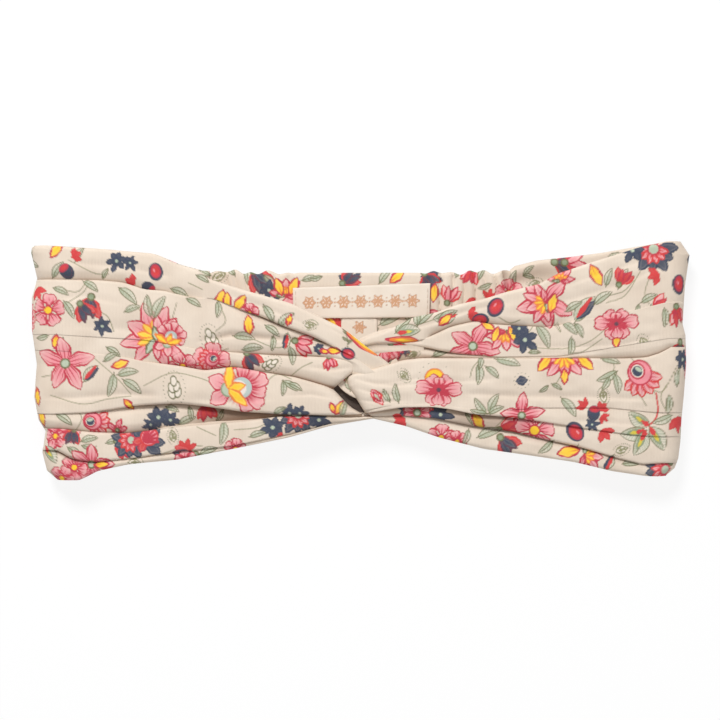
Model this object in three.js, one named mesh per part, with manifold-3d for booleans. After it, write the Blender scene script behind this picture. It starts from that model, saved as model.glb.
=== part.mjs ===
// Knotted headband, laid flat as a closed loop. Two jersey halves hook through each other in a
// twist at the front, fold round at both ends, and meet an elastic casing at the back.
// Millimetres, +Z up. The loop rests on its back layer at Z = 0, with the knot on top.
import * as THREE from 'three';
import { mergeVertices } from 'three/addons/utils/BufferGeometryUtils.js';
import Module from 'manifold-3d';

const wasm = await Module();
wasm.setup();

// Layers, counted up from the resting face.
const GAP = 0.3; // air left between pieces that touch
const SHELL = 1.0; // outer jersey
const LINING = 0.8; // inner jersey
const HEAD_GAP = 8.1; // height of the space between the front and back layers
const RIDGE = 1.3; // how far a pleat stands above the outer jersey
const LINING_RADIUS = HEAD_GAP / 2;
const SHELL_RADIUS = LINING_RADIUS + LINING + GAP;
const MID_Z = SHELL_RADIUS + SHELL; // height of the end folds' axis

// Stations along the loop, as distances from the middle.
const ARM_X = 33; // where the knot's arms end and the side panels start
const SEAM_X = 53; // gathered seams between the side panels and the casing
const FRONT_STEPS = 8;
const FOLD_STEPS = 6;
const BACK_STEPS = 6;
const ACROSS = 10; // points across a panel
const PLEATS = 3;

// Elastic back.
const CASING_WALL = 0.5;
const ELASTIC_THICKNESS = 1.2;
const CASING_THICKNESS = ELASTIC_THICKNESS + 2 * (CASING_WALL + GAP);
const CASING_Y = 18.5;
const CASING_WIDTH = 25;
const CASING_LENGTH = 2 * (SEAM_X - 1.4);
const ELASTIC_WIDTH = 20;
const ELASTIC_LENGTH = CASING_LENGTH - 4;

// Labels and thread.
const LABEL = { x: 0.6, y: 20.8, length: 48.2, width: 12.2, thickness: 0.5, tilt: 0.03 };
const TAG = { x: -0.3, width: 13, length: 11.5, thickness: 0.3 };
const THREAD = 0.22; // thread radius
const TAG_Z = CASING_THICKNESS + GAP;
const LABEL_Z = TAG_Z + TAG.thickness + GAP;

// Edges of each half as [distance from the middle, Y]. The end fold leans, so its reach is
// given at the bottom and at the top.
const LEFT = {
  side: -1,
  frontTop: [[33, 22], [41, 24.5], [53, 28.5], [64, 33.6], [80, 37.8], [106, 41]],
  frontBottom: [[33, -28.8], [45, -31.2], [64, -35], [96, -39.4], [106, -42.4]],
  backTop: [[53, 31.5], [64, 34.2], [84, 38.4], [106, 41]],
  backBottom: [[53, 5.8], [75, -12], [95, -34], [106, -42.4]],
  reach: [111, 113.6, 113.4, 115],
};
const RIGHT = {
  side: 1,
  frontTop: [[33, 19.4], [43, 21.6], [63, 26.8], [82, 33.2], [98, 38.6], [106, 42.4]],
  frontBottom: [[33, -28.4], [43, -31.2], [75, -35.8], [106, -41]],
  backTop: [[53, 32], [75, 36.6], [98, 40.2], [106, 42.4]],
  backBottom: [[53, 5.8], [75, -12], [95, -34], [106, -41]],
  reach: [111.4, 113.4, 113, 115],
};

// Knot arms as [x, y, z, half width]. Each arm comes in from its own half, hooks round the
// other one and goes back out on the same side.
const ARM_THICKNESS = 2.3;
const ARM_STEPS = 26;
const LEFT_ARM = [
  [-33, 10, 11.9, 11.6], [-26, 10, 12.4, 10.4], [-15, 9.4, 13.8, 8.2], [-5, 7.4, 15.3, 6.2],
  [3, 3.6, 16, 4.6], [8.6, -1.2, 14.4, 3.6], [9.6, -7, 11.5, 3.4], [5, -13.2, 11.3, 3.8],
  [-6, -16, 11.4, 5.2], [-16, -16.6, 11.6, 7.6], [-26, -16.8, 11.8, 9.8], [-33, -16.8, 11.9, 11.4],
];
const RIGHT_ARM = [
  [33, -14, 11.9, 12.6], [26, -14, 12.7, 10.4], [18, -12.6, 14.2, 7.6], [10, -11.6, 15.6, 5.4],
  [0, -10.8, 15.9, 4.6], [-6.4, -7.6, 14.3, 3.4], [-7.6, -2, 11.6, 3.2], [-3, 4, 11.2, 3.8],
  [6, 6.4, 11.3, 5], [17, 9.2, 11.5, 6.4], [26, 10.2, 11.8, 7.8], [33, 10.2, 11.9, 8.4],
];

const JERSEY = { color: 0xecdfd0, roughness: 0.9 };
const LINING_JERSEY = { color: 0xe6d9c9, roughness: 0.92 };
const ELASTIC = { color: 0xf2efe9, roughness: 0.8 };
const WOVEN = { color: 0xf4ecdc, roughness: 0.6 };
const COTTON_THREAD = { color: 0xe9dcc6, roughness: 0.7 };

const group = new THREE.Group();

function add(name, geometry, look) {
  const mesh = new THREE.Mesh(geometry, new THREE.MeshStandardMaterial({ metalness: 0, ...look }));
  mesh.name = name;
  group.add(mesh);
  return mesh;
}

// Height of a broken line at x, level past its last point.
function edgeAt(points, x) {
  const next = Math.max(1, points.findIndex(([px], i) => px >= x || i === points.length - 1));
  const [x0, y0] = points[next - 1];
  const [x1, y1] = points[next];
  return THREE.MathUtils.mapLinear(Math.min(x, x1), x0, x1, y0, y1);
}

// A closed body from rings of points. Each ring runs along its top side and back along its
// bottom side, so an end closes with quads between the two sides.
function ringBody(rings, flip) {
  const count = rings[0].length;
  const half = count / 2;
  const index = [];
  const quad = (a, b, c, d) => index.push(a, b, c, a, c, d);
  for (let r = 0; r + 1 < rings.length; r += 1) {
    for (let i = 0; i < count; i += 1) {
      const j = (i + 1) % count;
      quad(r * count + i, r * count + j, (r + 1) * count + j, (r + 1) * count + i);
    }
  }
  const last = (rings.length - 1) * count;
  for (let i = 0; i + 1 < half; i += 1) {
    const across = count - 1 - i;
    quad(i, across, across - 1, i + 1);
    quad(last + i, last + i + 1, last + across - 1, last + across);
  }
  if (flip) {
    index.reverse();
  }
  const geometry = new THREE.BufferGeometry();
  const flat = rings.flat().flatMap((p) => [p.x, p.y, p.z]);
  geometry.setAttribute('position', new THREE.Float32BufferAttribute(flat, 3));
  geometry.setIndex(index);
  geometry.computeVertexNormals();
  return geometry;
}

// A point of a half's jersey: t runs 0..1 over the front, 1..2 round the end fold and 2..3
// along the back, v runs from the lower edge to the upper one, radius sets the layer.
function jerseyPoint(half, t, v, radius) {
  const place = v * (half.reach.length - 1);
  const reach = edgeAt(half.reach.map((x, i) => [i, x]), place);
  const foldX = reach - SHELL_RADIUS - SHELL;
  let x = foldX;
  let z = MID_Z;
  let top = half.frontTop;
  let bottom = half.frontBottom;
  if (t < 1) {
    x = THREE.MathUtils.lerp(ARM_X + GAP, foldX, t);
    z += radius;
  } else if (t < 2) {
    const angle = (t - 1) * Math.PI;
    x += radius * Math.sin(angle);
    z += radius * Math.cos(angle);
  } else {
    x = THREE.MathUtils.lerp(foldX, SEAM_X + 1.2, t - 2);
    z -= radius;
    top = half.backTop;
    bottom = half.backBottom;
  }
  const span = t >= 1 && t < 2 ? foldX : x;
  const y = THREE.MathUtils.lerp(edgeAt(bottom, span), edgeAt(top, span), v);
  return new THREE.Vector3(half.side * x, y, z);
}

function stations() {
  const front = Array.from({ length: FRONT_STEPS }, (_, i) => i / FRONT_STEPS);
  const fold = Array.from({ length: FOLD_STEPS }, (_, i) => 1 + i / FOLD_STEPS);
  const back = Array.from({ length: BACK_STEPS + 1 }, (_, i) => 2 + i / BACK_STEPS);
  return [...front, ...fold, ...back];
}

function jerseyLayer(half, radius, thickness, ridge) {
  const places = Array.from({ length: ACROSS }, (_, i) => i / (ACROSS - 1));
  const rings = stations().map((t) => {
    const fade = t < 1 ? 1 : Math.max(0, 2 - t);
    const lift = (v) => ridge * fade * Math.sin(PLEATS * Math.PI * v) ** 2;
    const outer = places.map((v) => jerseyPoint(half, t, v, radius + thickness + lift(v)));
    const inner = places.map((v) => jerseyPoint(half, t, v, radius));
    return [...outer, ...inner.reverse()];
  });
  return ringBody(rings, half.side > 0);
}

// A soft arm of the knot: a crowned ribbon along a curve, its width level and across the curve.
function armBody(points) {
  const curve = new THREE.CatmullRomCurve3(points.map(([x, y, z]) => new THREE.Vector3(x, y, z)));
  const widths = new THREE.SplineCurve(points.map(([, , , w], i) => new THREE.Vector2(i, w)));
  const crown = [0.3, 0.85, 1, 0.85, 0.3];
  const rings = Array.from({ length: ARM_STEPS + 1 }, (_, i) => {
    const t = i / ARM_STEPS;
    const centre = curve.getPoint(t);
    const along = curve.getTangent(t);
    const level = new THREE.Vector3(-along.y, along.x, 0).normalize();
    const width = widths.getPoint(t).y;
    const row = (sign) => crown.map((height, k) => {
      const side = level.clone().multiplyScalar(width * (k / 2 - 1));
      const lift = new THREE.Vector3(0, 0, (sign * height * ARM_THICKNESS) / 2);
      return centre.clone().add(side).add(lift);
    });
    return [...row(1), ...row(-1).reverse()];
  });
  return ringBody(rings, true);
}

function box(length, width, height, x, y, z) {
  return new THREE.BoxGeometry(length, width, height).translate(x, y, z + height / 2);
}

// Flat ribbon in X with gathered, wavy long edges.
function gatheredStrip(length, width, bottomZ, height, waves, depth) {
  const steps = 4 * Math.max(1, waves);
  const rings = Array.from({ length: steps + 1 }, (_, i) => {
    const x = length * (i / steps - 0.5);
    const half = width / 2 + depth * Math.sin((i * Math.PI) / 2);
    const corner = (y, z) => new THREE.Vector3(x, CASING_Y + y, z);
    const topZ = bottomZ + height;
    return [corner(-half, topZ), corner(half, topZ), corner(half, bottomZ), corner(-half, bottomZ)];
  });
  return ringBody(rings, true);
}

function solid(geometry) {
  const bare = geometry.clone();
  bare.deleteAttribute('normal');
  bare.deleteAttribute('uv');
  const merged = mergeVertices(bare);
  const vertProperties = new Float32Array(merged.attributes.position.array);
  const triVerts = new Uint32Array(merged.index.array);
  return new wasm.Manifold(new wasm.Mesh({ numProp: 3, vertProperties, triVerts }));
}

function toGeometry(manifold) {
  const mesh = manifold.getMesh();
  const geometry = new THREE.BufferGeometry();
  geometry.setAttribute('position', new THREE.Float32BufferAttribute(mesh.vertProperties, 3));
  geometry.setIndex(Array.from(mesh.triVerts));
  geometry.computeVertexNormals();
  return geometry;
}

function casingBody() {
  const waves = 9;
  const outer = gatheredStrip(CASING_LENGTH, CASING_WIDTH, 0, CASING_THICKNESS, waves, 0.5);
  const channelHeight = CASING_THICKNESS - 2 * CASING_WALL;
  const channel = box(
    CASING_LENGTH + 2,
    ELASTIC_WIDTH + 2 * GAP,
    channelHeight,
    0,
    CASING_Y,
    CASING_WALL,
  );
  return toGeometry(solid(outer).subtract(solid(channel)));
}

// One continuous row of thread: it bobs up and down along a straight line.
function threadRow(from, to, bob, steps) {
  const points = Array.from({ length: steps + 1 }, (_, i) => {
    const point = from.clone().lerp(to, i / steps);
    return point.add(bob.clone().multiplyScalar(i % 2));
  });
  const section = new THREE.Shape(
    Array.from({ length: 5 }, (_, i) => {
      const angle = (i / 5) * 2 * Math.PI;
      return new THREE.Vector2(THREAD * Math.cos(angle), THREAD * Math.sin(angle));
    }),
  );
  const path = new THREE.CatmullRomCurve3(points, false, 'catmullrom', 0.4);
  return new THREE.ExtrudeGeometry(section, { steps: steps * 2, extrudePath: path });
}

function labelBody() {
  return box(LABEL.length, LABEL.width, LABEL.thickness, 0, 0, 0)
    .rotateZ(LABEL.tilt)
    .translate(LABEL.x, LABEL.y, LABEL_Z);
}

function labelStitch(side) {
  const reach = (side * (LABEL.length - 2)) / 2;
  const half = LABEL.width / 2 - 0.8;
  const turn = (y) => new THREE.Vector3(reach, y, 0).applyAxisAngle(
    new THREE.Vector3(0, 0, 1),
    LABEL.tilt,
  );
  const lift = new THREE.Vector3(LABEL.x, LABEL.y, LABEL_Z + LABEL.thickness + GAP + THREAD);
  return threadRow(turn(-half).add(lift), turn(half).add(lift), new THREE.Vector3(0.5, 0, 0), 8);
}

// Zigzag thread that joins the gathered cloth to the end of the casing.
function gatherSeam(side) {
  const x = side * (SEAM_X - 0.6);
  const half = CASING_WIDTH / 2 - 0.6;
  const low = new THREE.Vector3(x, CASING_Y - half, 0.6);
  const high = new THREE.Vector3(x, CASING_Y + half, 0.6);
  return threadRow(low, high, new THREE.Vector3(side * 0.5, 0, 1.4), 14);
}

// Bar tack that holds the elastic's end inside the casing.
function elasticTack(side) {
  const x = side * (ELASTIC_LENGTH / 2 + 0.8);
  const half = ELASTIC_WIDTH / 2 - 1;
  const z = CASING_THICKNESS / 2;
  const low = new THREE.Vector3(x, CASING_Y - half, z - 0.2);
  const high = new THREE.Vector3(x, CASING_Y + half, z - 0.2);
  return threadRow(low, high, new THREE.Vector3(side * 0.4, 0, 0.4), 12);
}

// Closing seam of the jersey tube, along the lining's face towards the head.
function tubeSeam(half) {
  const z = MID_Z + LINING_RADIUS - GAP - THREAD - 0.1;
  const near = new THREE.Vector3(half.side * (ARM_X + 4), -6, z);
  const far = new THREE.Vector3(half.side * 104, -6, z);
  return threadRow(near, far, new THREE.Vector3(0, 0.5, 0), 16);
}

for (const [name, half, arm] of [['left', LEFT, LEFT_ARM], ['right', RIGHT, RIGHT_ARM]]) {
  add(`${name}_outer_panel`, jerseyLayer(half, SHELL_RADIUS, SHELL, RIDGE), JERSEY);
  add(`${name}_lining_panel`, jerseyLayer(half, LINING_RADIUS, LINING, 0), LINING_JERSEY);
  add(`${name}_knot_loop`, armBody(arm), JERSEY);
  add(`${name}_tube_seam`, tubeSeam(half), COTTON_THREAD);
  add(`${name}_gather_seam`, gatherSeam(half.side), COTTON_THREAD);
  add(`${name}_elastic_tack`, elasticTack(half.side), COTTON_THREAD);
  add(`${name}_label_stitch`, labelStitch(half.side), COTTON_THREAD);
}
add('elastic_casing', casingBody(), JERSEY);
const elasticZ = CASING_WALL + GAP;
add('elastic_band', box(ELASTIC_LENGTH, ELASTIC_WIDTH, ELASTIC_THICKNESS, 0, CASING_Y, elasticZ), ELASTIC);
add('woven_label', labelBody(), WOVEN);
const tagY = LABEL.y - LABEL.width / 2 - GAP - 0.4 - TAG.length / 2;
add('size_tag', box(TAG.width, TAG.length, TAG.thickness, TAG.x, tagY, TAG_Z), WOVEN);

// The origin is the middle of the resting face.
const bounds = new THREE.Box3().setFromObject(group);
const middle = bounds.getCenter(new THREE.Vector3());
group.position.set(-middle.x, -middle.y, -bounds.min.z);

export default group;
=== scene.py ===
"""Knotted headband laid flat: the jersey halves, casing, label, tag, elastic and thread.

Lengths in the tables are millimetres in the frame's own axes. Meshes are in metres.
"""

import math

import bmesh
import bpy
import numpy as np
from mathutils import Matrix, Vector


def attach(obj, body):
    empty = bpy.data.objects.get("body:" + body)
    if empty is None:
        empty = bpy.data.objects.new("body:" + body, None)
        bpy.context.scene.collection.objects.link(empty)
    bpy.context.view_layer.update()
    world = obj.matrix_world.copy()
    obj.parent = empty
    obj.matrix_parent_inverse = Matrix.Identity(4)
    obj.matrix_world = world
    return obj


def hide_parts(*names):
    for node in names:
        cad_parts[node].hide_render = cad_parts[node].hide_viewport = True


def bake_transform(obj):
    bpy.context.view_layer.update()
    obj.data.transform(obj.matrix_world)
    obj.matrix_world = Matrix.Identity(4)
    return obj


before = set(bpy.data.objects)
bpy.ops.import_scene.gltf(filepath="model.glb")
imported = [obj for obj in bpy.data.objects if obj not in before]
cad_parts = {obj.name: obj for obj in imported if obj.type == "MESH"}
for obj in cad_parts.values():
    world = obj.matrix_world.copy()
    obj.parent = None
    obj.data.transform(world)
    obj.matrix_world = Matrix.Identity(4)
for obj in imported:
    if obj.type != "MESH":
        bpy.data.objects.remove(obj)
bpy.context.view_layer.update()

MM = 0.001
PITCH = 0.36  # spacing of the mesh points that carry the print
MID_Z = 6.15  # height of the end folds' axis
SKIN_Z = 10.3  # underside of the front layer
SKIN_RADIUS = SKIN_Z - MID_Z
SKIN_THICK = 1.1  # thickness of the front layer at the knot
FAR = 108.5  # how far out the pleats of a front are laid before the end fold
FRONT_COLUMNS = 300  # mesh columns of a front
FOLD_COLUMNS = 40  # mesh columns round an end fold
SEAM_X = 53.4  # distance from the middle to the seam between the back layer and the casing
TUCK = 1.1  # how far a tucked pleat runs on under the one in front
EDGE_RADIUS = 1.3  # roundness of a pleat's folded edge
SAG = 1.7  # how deep a tucked pleat dips along the one in front
SAG_REACH = 4.0  # how far from the one in front the dip ends
TUCK_SHADE_WIDTH = 0.55  # width of the painted shade line where one pleat dives under another
CROWN = 0.5  # rise of a wide pleat's middle
WIDE_PLEAT = 14
SPREAD_REACH = 46  # distance from the middle by which the columns of all edges have drawn level
# strength of the painted shade in a crease, by the square of its depth
CREASE_SHADE = 0.35
HOLLOW_FADES = (10, 22)  # distances over which a hollow's painted shade fades at its inner and outer end
FOLD_BLEND = 70  # distance out from which the front's columns lean towards the end fold
LEAST_THICK = 0.25  # least distance between a front's top and its underside
ENDS_REACH = 16  # mesh columns over which a pleat takes the shape of its end at the knot
ROLL_REACH = 9  # mesh columns over which a pleat's end at the knot rolls down
KNOT_REACH = 26  # distance from the middle near which the underside stops following the top
UNDERSIDE = -1  # zone of the points under a piece; the pleats are zones 0 to 6 from below


def smooth(x, start, end):
    """Rises from 0 at start to 1 at end, with a soft foot and head. It falls if end is below start."""
    t = np.clip((np.asarray(x, float) - start) / (end - start), 0, 1)
    return t * t * (3 - 2 * t)


def line(points, x):
    """Height of a broken line of (x, y) points at x."""
    xs, ys = np.array(points, float).T
    return np.interp(x, xs, ys)


def soften(values, window):
    """Moving average that keeps both ends where they are."""
    pad = window // 2
    kernel = np.ones(2 * pad + 1) / (2 * pad + 1)
    ends = np.concatenate([np.full(pad, values[0]), values, np.full(pad, values[-1])])
    mean = np.convolve(ends, kernel, "valid")
    near = np.minimum(np.arange(len(values)), np.arange(len(values))[::-1])
    share = smooth(near, 0, pad)
    return values * (1 - share) + mean * share


def ripple(x, y, seed, scale):
    """Smooth pseudo-random height between about -1 and 1."""
    rng = np.random.default_rng(seed)
    total = np.zeros(np.broadcast(x, y).shape)
    for _ in range(7):
        angle = rng.uniform(0, math.tau)
        wave = scale * rng.uniform(0.6, 1.7)
        along = (x * math.cos(angle) + y * math.sin(angle)) * math.tau / wave
        total = total + np.sin(along + rng.uniform(0, math.tau))
    return total / 3.5


# ---------------------------------------------------------------- pleats of the two halves
# Each half is a flattened tube of jersey. Its front is a row of pleats from the lower edge to
# the upper one. An edge is a line of (distance out from the middle, Y) points from the knot to
# the end fold, and "front" says which pleat lies on top along it: +1 the upper, -1 the lower,
# as (distance, value) points. A pleat's level is its height, as (distance, Z) points.
# A crease is (points, depth, width) and lays painted shade along itself, a hollow is (pleat,
# start, end, strength) of painted shade on that pleat, and "ends" shapes a pleat's end at the
# knot by (share of its width, shift out, shift up) points. "end_roll" is how far a pleat's end
# rolls down, "reach" the outline of the end fold as (Y, distance out) points, and "back_top"
# the upper edge of the layer behind.

LEFT = {
    "side": -1,
    "edges": [
        [(-5.5, -20.4), (9.8, -22.9), (25.2, -27.2), (44.8, -31.2), (64.4, -35), (82.3, -36.6),
         (96.3, -39), (104, -42.2)],
        [(-5, -20.1), (9.8, -22.2), (25, -26), (44, -29.8), (64.4, -32.2), (79.8, -34.4), (95.6, -35.8),
         (103.2, -34.6), (109, -31.4)],
        [(-2, -19.9), (4, -20.2), (17, -19.3), (29, -19.8), (39.5, -21.2), (55, -22.6), (64.4, -23.3),
         (72, -24.4), (82.3, -25.6), (95.6, -25.2), (107.5, -24)],
        [(-1, -19), (9.8, -19.3), (25.2, -19.1), (41, -18.1), (54.3, -16.2), (64.4, -15.2), (78.4, -16),
         (95, -18.4), (110, -19)],
        [(9.9, -9.6), (17.5, -7.4), (23, -5.9), (33.3, -4.3), (44, -2.3), (54.3, -3.6), (62.6, -2.1),
         (75.3, -0.4), (85.4, 1.4), (110, 3.6)],
        [(1, -0.7), (3.1, 0.5), (7, 0.9), (12.7, 1.2), (23.8, 1.5), (33, 1.9), (42.5, 2.6), (51.6, 3.2),
         (62, 4.8), (75, 7), (110, 9)],
        [(-7.4, -5.6), (-2, -2), (1.75, 0.9), (9.8, 4.9), (17.5, 8.7), (27, 11.9), (33.3, 14.7),
         (42.4, 17.9), (51.1, 21.4), (59.5, 22), (68.3, 24.2), (75.3, 24.7), (83, 27.2), (92, 28),
         (112.7, 28.3)],
        [(-13.5, -5), (-10.5, -1.4), (-2, 4.8), (5.6, 10.9), (13.3, 14.7), (23.6, 19.7), (40.7, 24.5),
         (53.2, 28.5), (56.5, 31.5), (64.4, 33.8), (72.1, 37.3), (87.9, 38.7), (108.9, 40.2)],
    ],
    "front": [
        [(0, 1), (45, 0), (70, 0.5), (110, 0.7)],
        [(0, -0.6), (110, -0.75)],
        [(0, 0.7), (60, 1), (85, 0.45), (110, 0.2)],
        [(0, -0.9), (60, -0.8), (75, -0.3), (90, 0), (110, 0)],
        [(0, -0.9), (30, -0.8), (45, -0.5), (58, -0.25), (68, 0), (110, 0)],
        [(-6, 0), (5, 0), (10, 0.5), (15, 1), (34, 0.9), (44, 0.3), (52, 0.15), (60, -0.35), (75, -0.6),
         (110, -0.55)],
    ],
    "levels": [
        [(0, 12.2), (110, 12.3)],
        [(0, 12.9), (40, 13.3), (110, 13.1)],
        [(0, 11.4), (45, 11), (70, 11.7), (95, 12.7), (110, 12.9)],
        [(-3, 13.4), (3, 14.6), (12, 15), (30, 14.6), (70, 14), (110, 13.3)],
        [(0, 15.7), (10, 15.3), (20, 14.5), (40, 13.4), (75, 13.6), (110, 13.3)],
        [(-8, 12), (-4, 13.6), (0, 15.2), (4, 15.7), (12, 15), (22, 13.8), (40, 13.3), (75, 14.1),
         (110, 13.4)],
        [(-13, 11.7), (-9, 12.5), (-5, 13.7), (0, 15.5), (4, 16), (14, 15.6), (34, 14.2), (60, 13.2),
         (110, 12.8)],
    ],
    "creases": [
        ([(14, 5.4), (22, 7.4), (33, 7.7), (45, 8.8), (56, 6.6)], 1.0, 1.5),
        ([(60, 5), (72, 9.4), (86, 11.4), (100, 12)], 0.35, 2.6),
        ([(70, -12.4), (84, -11.8), (100, -13.2), (110, -13)], 0.5, 1.6),
        ([(30, -13.4), (44, -14.6), (60, -13.4)], 0.3, 1.8),
        ([(84, 20), (96, 22.4), (108, 21.4)], 0.35, 1.8),
        ([(66, 29.4), (82, 32.6), (104, 34.4)], 0.4, 1.8),
        ([(20, 13), (34, 18.6), (48, 23.4)], 0.35, 1.4),
        ([(3, -2.6), (9, -3.4), (18, -2.6)], 0.5, 1),
        ([(9, -13.4), (17, -12), (26, -12.4)], 0.35, 1.1),
        ([(-6, 1.4), (2, 6.4), (10, 10.8)], 0.4, 0.9),
    ],
    "hollow_shade": [(2, 18, 66, 0.9), (1, 4, 34, 0.3)],
    "ends": {
        3: [(0, 0, 0), (0.27, 1.4, 0), (0.6, 0.8, 0), (1, 0, 0)],
        4: [(0, 0, 0), (0.5, -1.1, 0), (0.64, -1.8, 0), (0.85, -1, 0), (1, 0, 0)],
        5: [(0, 1.4, -3.6), (0.35, 1.4, -2.6), (1, 0, 0)],
    },
    "end_roll": {3: 2.2, 4: 1.6, 6: 1.2},
    "reach": [
        (-42.4, 106.4), (-38.9, 110.4), (-32.6, 112), (-24.9, 110.9), (-21, 113.4), (-13, 114.9),
        (-1.4, 114), (10.5, 115.7), (22, 115.7), (28.7, 113.8), (37.8, 116), (39.6, 115.7), (41, 113.6),
    ],
    "back_top": [(53, 31.6), (56, 31.8), (64, 34), (72, 37.4), (88, 39.2), (108, 40.6)],
}
RIGHT = {
    "side": 1,
    "edges": [
        [(3.6, -20.3), (16.1, -23.2), (27.7, -27.2), (43.4, -31.2), (59, -33.4), (74.6, -35.7),
         (90.3, -38.9), (105.9, -40.8)],
        [(4, -19.8), (14, -19.4), (26.3, -20.4), (38.5, -22.9), (53.2, -25), (63, -27.4), (77, -30.5),
         (91.4, -34.4), (101.5, -36.6), (110, -36)],
        [(1.9, -18.6), (8.4, -17.5), (14.7, -16.5), (25.6, -16.4), (31.5, -17.2), (39.6, -18.9),
         (51.1, -19.9), (62.3, -21.4), (77, -23.6), (98, -26.3), (112, -27)],
        [(1.2, -17.6), (12, -15.6), (25, -15.4), (40, -17.4), (52, -17.6), (63, -16.8), (88, -16.8),
         (105, -18.4), (112, -18.6)],
        [(-4.2, -5.9), (-3, -4.9), (0.6, -4.3), (5.6, -2.9), (10, -1.6), (14.7, 0), (21.7, 0.7),
         (46.6, 0.7), (66.9, 0.7), (92, 0.6), (100, 1), (105, 2.6), (112, 6.6)],
        [(-1, 2.6), (6, 4.6), (14, 5), (19, 5), (24, 4.2), (28, 3.2), (34, 2.3), (47.3, 1.1), (70, 1.4),
         (112, 8)],
        [(-0.8, 4), (6, 5.6), (14, 5.8), (19, 6.3), (22, 7.2), (26, 9), (32, 11.8), (40, 13.6),
         (46, 12.6), (55.3, 12), (64.8, 11.6), (70, 12.3), (74.2, 13.7), (86.5, 15), (112, 21)],
        [(-1.4, 5.6), (2.8, 8.4), (7.4, 9.5), (14, 12.6), (19, 15.1), (26, 16.5), (34.7, 19.6),
         (43.4, 21.4), (51, 23.8), (63, 26.7), (69, 30.2), (82.4, 34.6), (90.3, 37), (98, 39.4),
         (111, 42.2)],
    ],
    "front": [
        [(0, 0.4), (30, 0.6), (70, 0.8), (110, 0.4)],
        [(0, 0.9), (50, 1), (62, 0.45), (80, 0.15), (112, 0)],
        [(0, 0), (40, 0), (60, 0.15), (90, 0.2), (112, 0.1)],
        [(0, -1), (46, -0.75), (90, -0.6), (102, -0.7), (112, -0.5)],
        [(0, 0.7), (35, 0.9), (45, 0.2), (48, 0), (112, 0)],
        [(0, 1), (18, 1), (22, 0), (26, -0.9), (50, -0.7), (68, -0.5), (78, 0), (112, 0)],
    ],
    "levels": [
        [(0, 12.1), (110, 12.4)],
        [(0, 12.5), (40, 13.2), (110, 13.1)],
        [(2, 14.6), (8, 15.8), (20, 15.6), (30, 15.2), (60, 14.1), (110, 13.4)],
        [(-5, 13), (-1, 15), (6, 16), (20, 15.6), (50, 14.5), (110, 13.6)],
        [(-2, 11.7), (10, 12), (30, 12.3), (50, 12.9), (112, 13.2)],
        [(-2, 11.8), (12, 12.3), (30, 13.8), (60, 13.4), (112, 13.3)],
        [(-2, 12.4), (6, 13.7), (20, 13.7), (36, 12.9), (70, 13.4), (112, 13.1)],
    ],
    "creases": [
        ([(8, -8), (20, -6.4), (34, -7.4), (48, -6.6)], 0.35, 1.4),
        ([(36, -11.6), (56, -12.6), (80, -12.8), (104, -13.6)], 0.5, 1.6),
        ([(58, 5), (74, 4.6), (92, 5.6), (106, 9)], 0.4, 1.5),
        ([(16, 10.4), (26, 13.2), (38, 17.4), (52, 20)], 0.45, 1.3),
        ([(60, 17.6), (76, 22), (92, 27), (106, 33)], 0.4, 2.2),
        ([(70, 25.6), (86, 31), (102, 36)], 0.35, 1.5),
        ([(74, -21), (90, -22), (106, -23)], 0.35, 1.5),
        ([(-2, -6.4), (5, -8.2), (12, -8.8), (20, -8.4)], 0.5, 1.1),
        ([(-1, -10), (6, -11.8), (14, -12.6)], 0.45, 1),
        ([(0, -14), (7, -14.8), (15, -14.2)], 0.35, 0.8),
    ],
    "hollow_shade": [(1, 26, 70, 0.55), (4, 4, 34, 0.3)],
    "ends": {3: [(0, 0, 0), (0.35, -0.6, 0), (0.7, -1.4, 0), (0.9, -0.9, 0), (1, 0, 0)]},
    "end_roll": {2: 3, 3: 3},
    "reach": [
        (-41, 107.6), (-38, 111), (-34.5, 112.3), (-28.7, 113), (-21, 113.4), (-13, 114.2), (-1.4, 115.1),
        (8.8, 114.8), (12.6, 113.8), (25.9, 114.6), (36.9, 116.2), (42.4, 112.6),
    ],
    "back_top": [(53, 31.8), (55, 33.4), (63, 35.4), (74.6, 36.6), (86.5, 38.2), (98, 40.2), (111, 42.3)],
}
BACK_BOTTOM = [(53, 5.6), (75, -12), (95, -34), (106, -41.6)]


# ---------------------------------------------------------------- sheet building


def rows_for(half):
    """How many mesh rows each pleat needs at its widest, over the front."""
    out = np.linspace(4, 108, 60)
    heights = [line(edge, out) for edge in half["edges"]]
    widths = [np.max(b - a) for a, b in zip(heights, heights[1:])]
    return [max(10, int(width / PITCH) + 4) for width in widths]


def column_places(half):
    """Distance out of every edge at every column: spread from each edge's own knot end."""
    middle = np.linspace(0, FAR, FRONT_COLUMNS)
    return np.array([middle + edge[0][0] * (1 - smooth(middle, 0, SPREAD_REACH)) for edge in half["edges"]])


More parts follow.
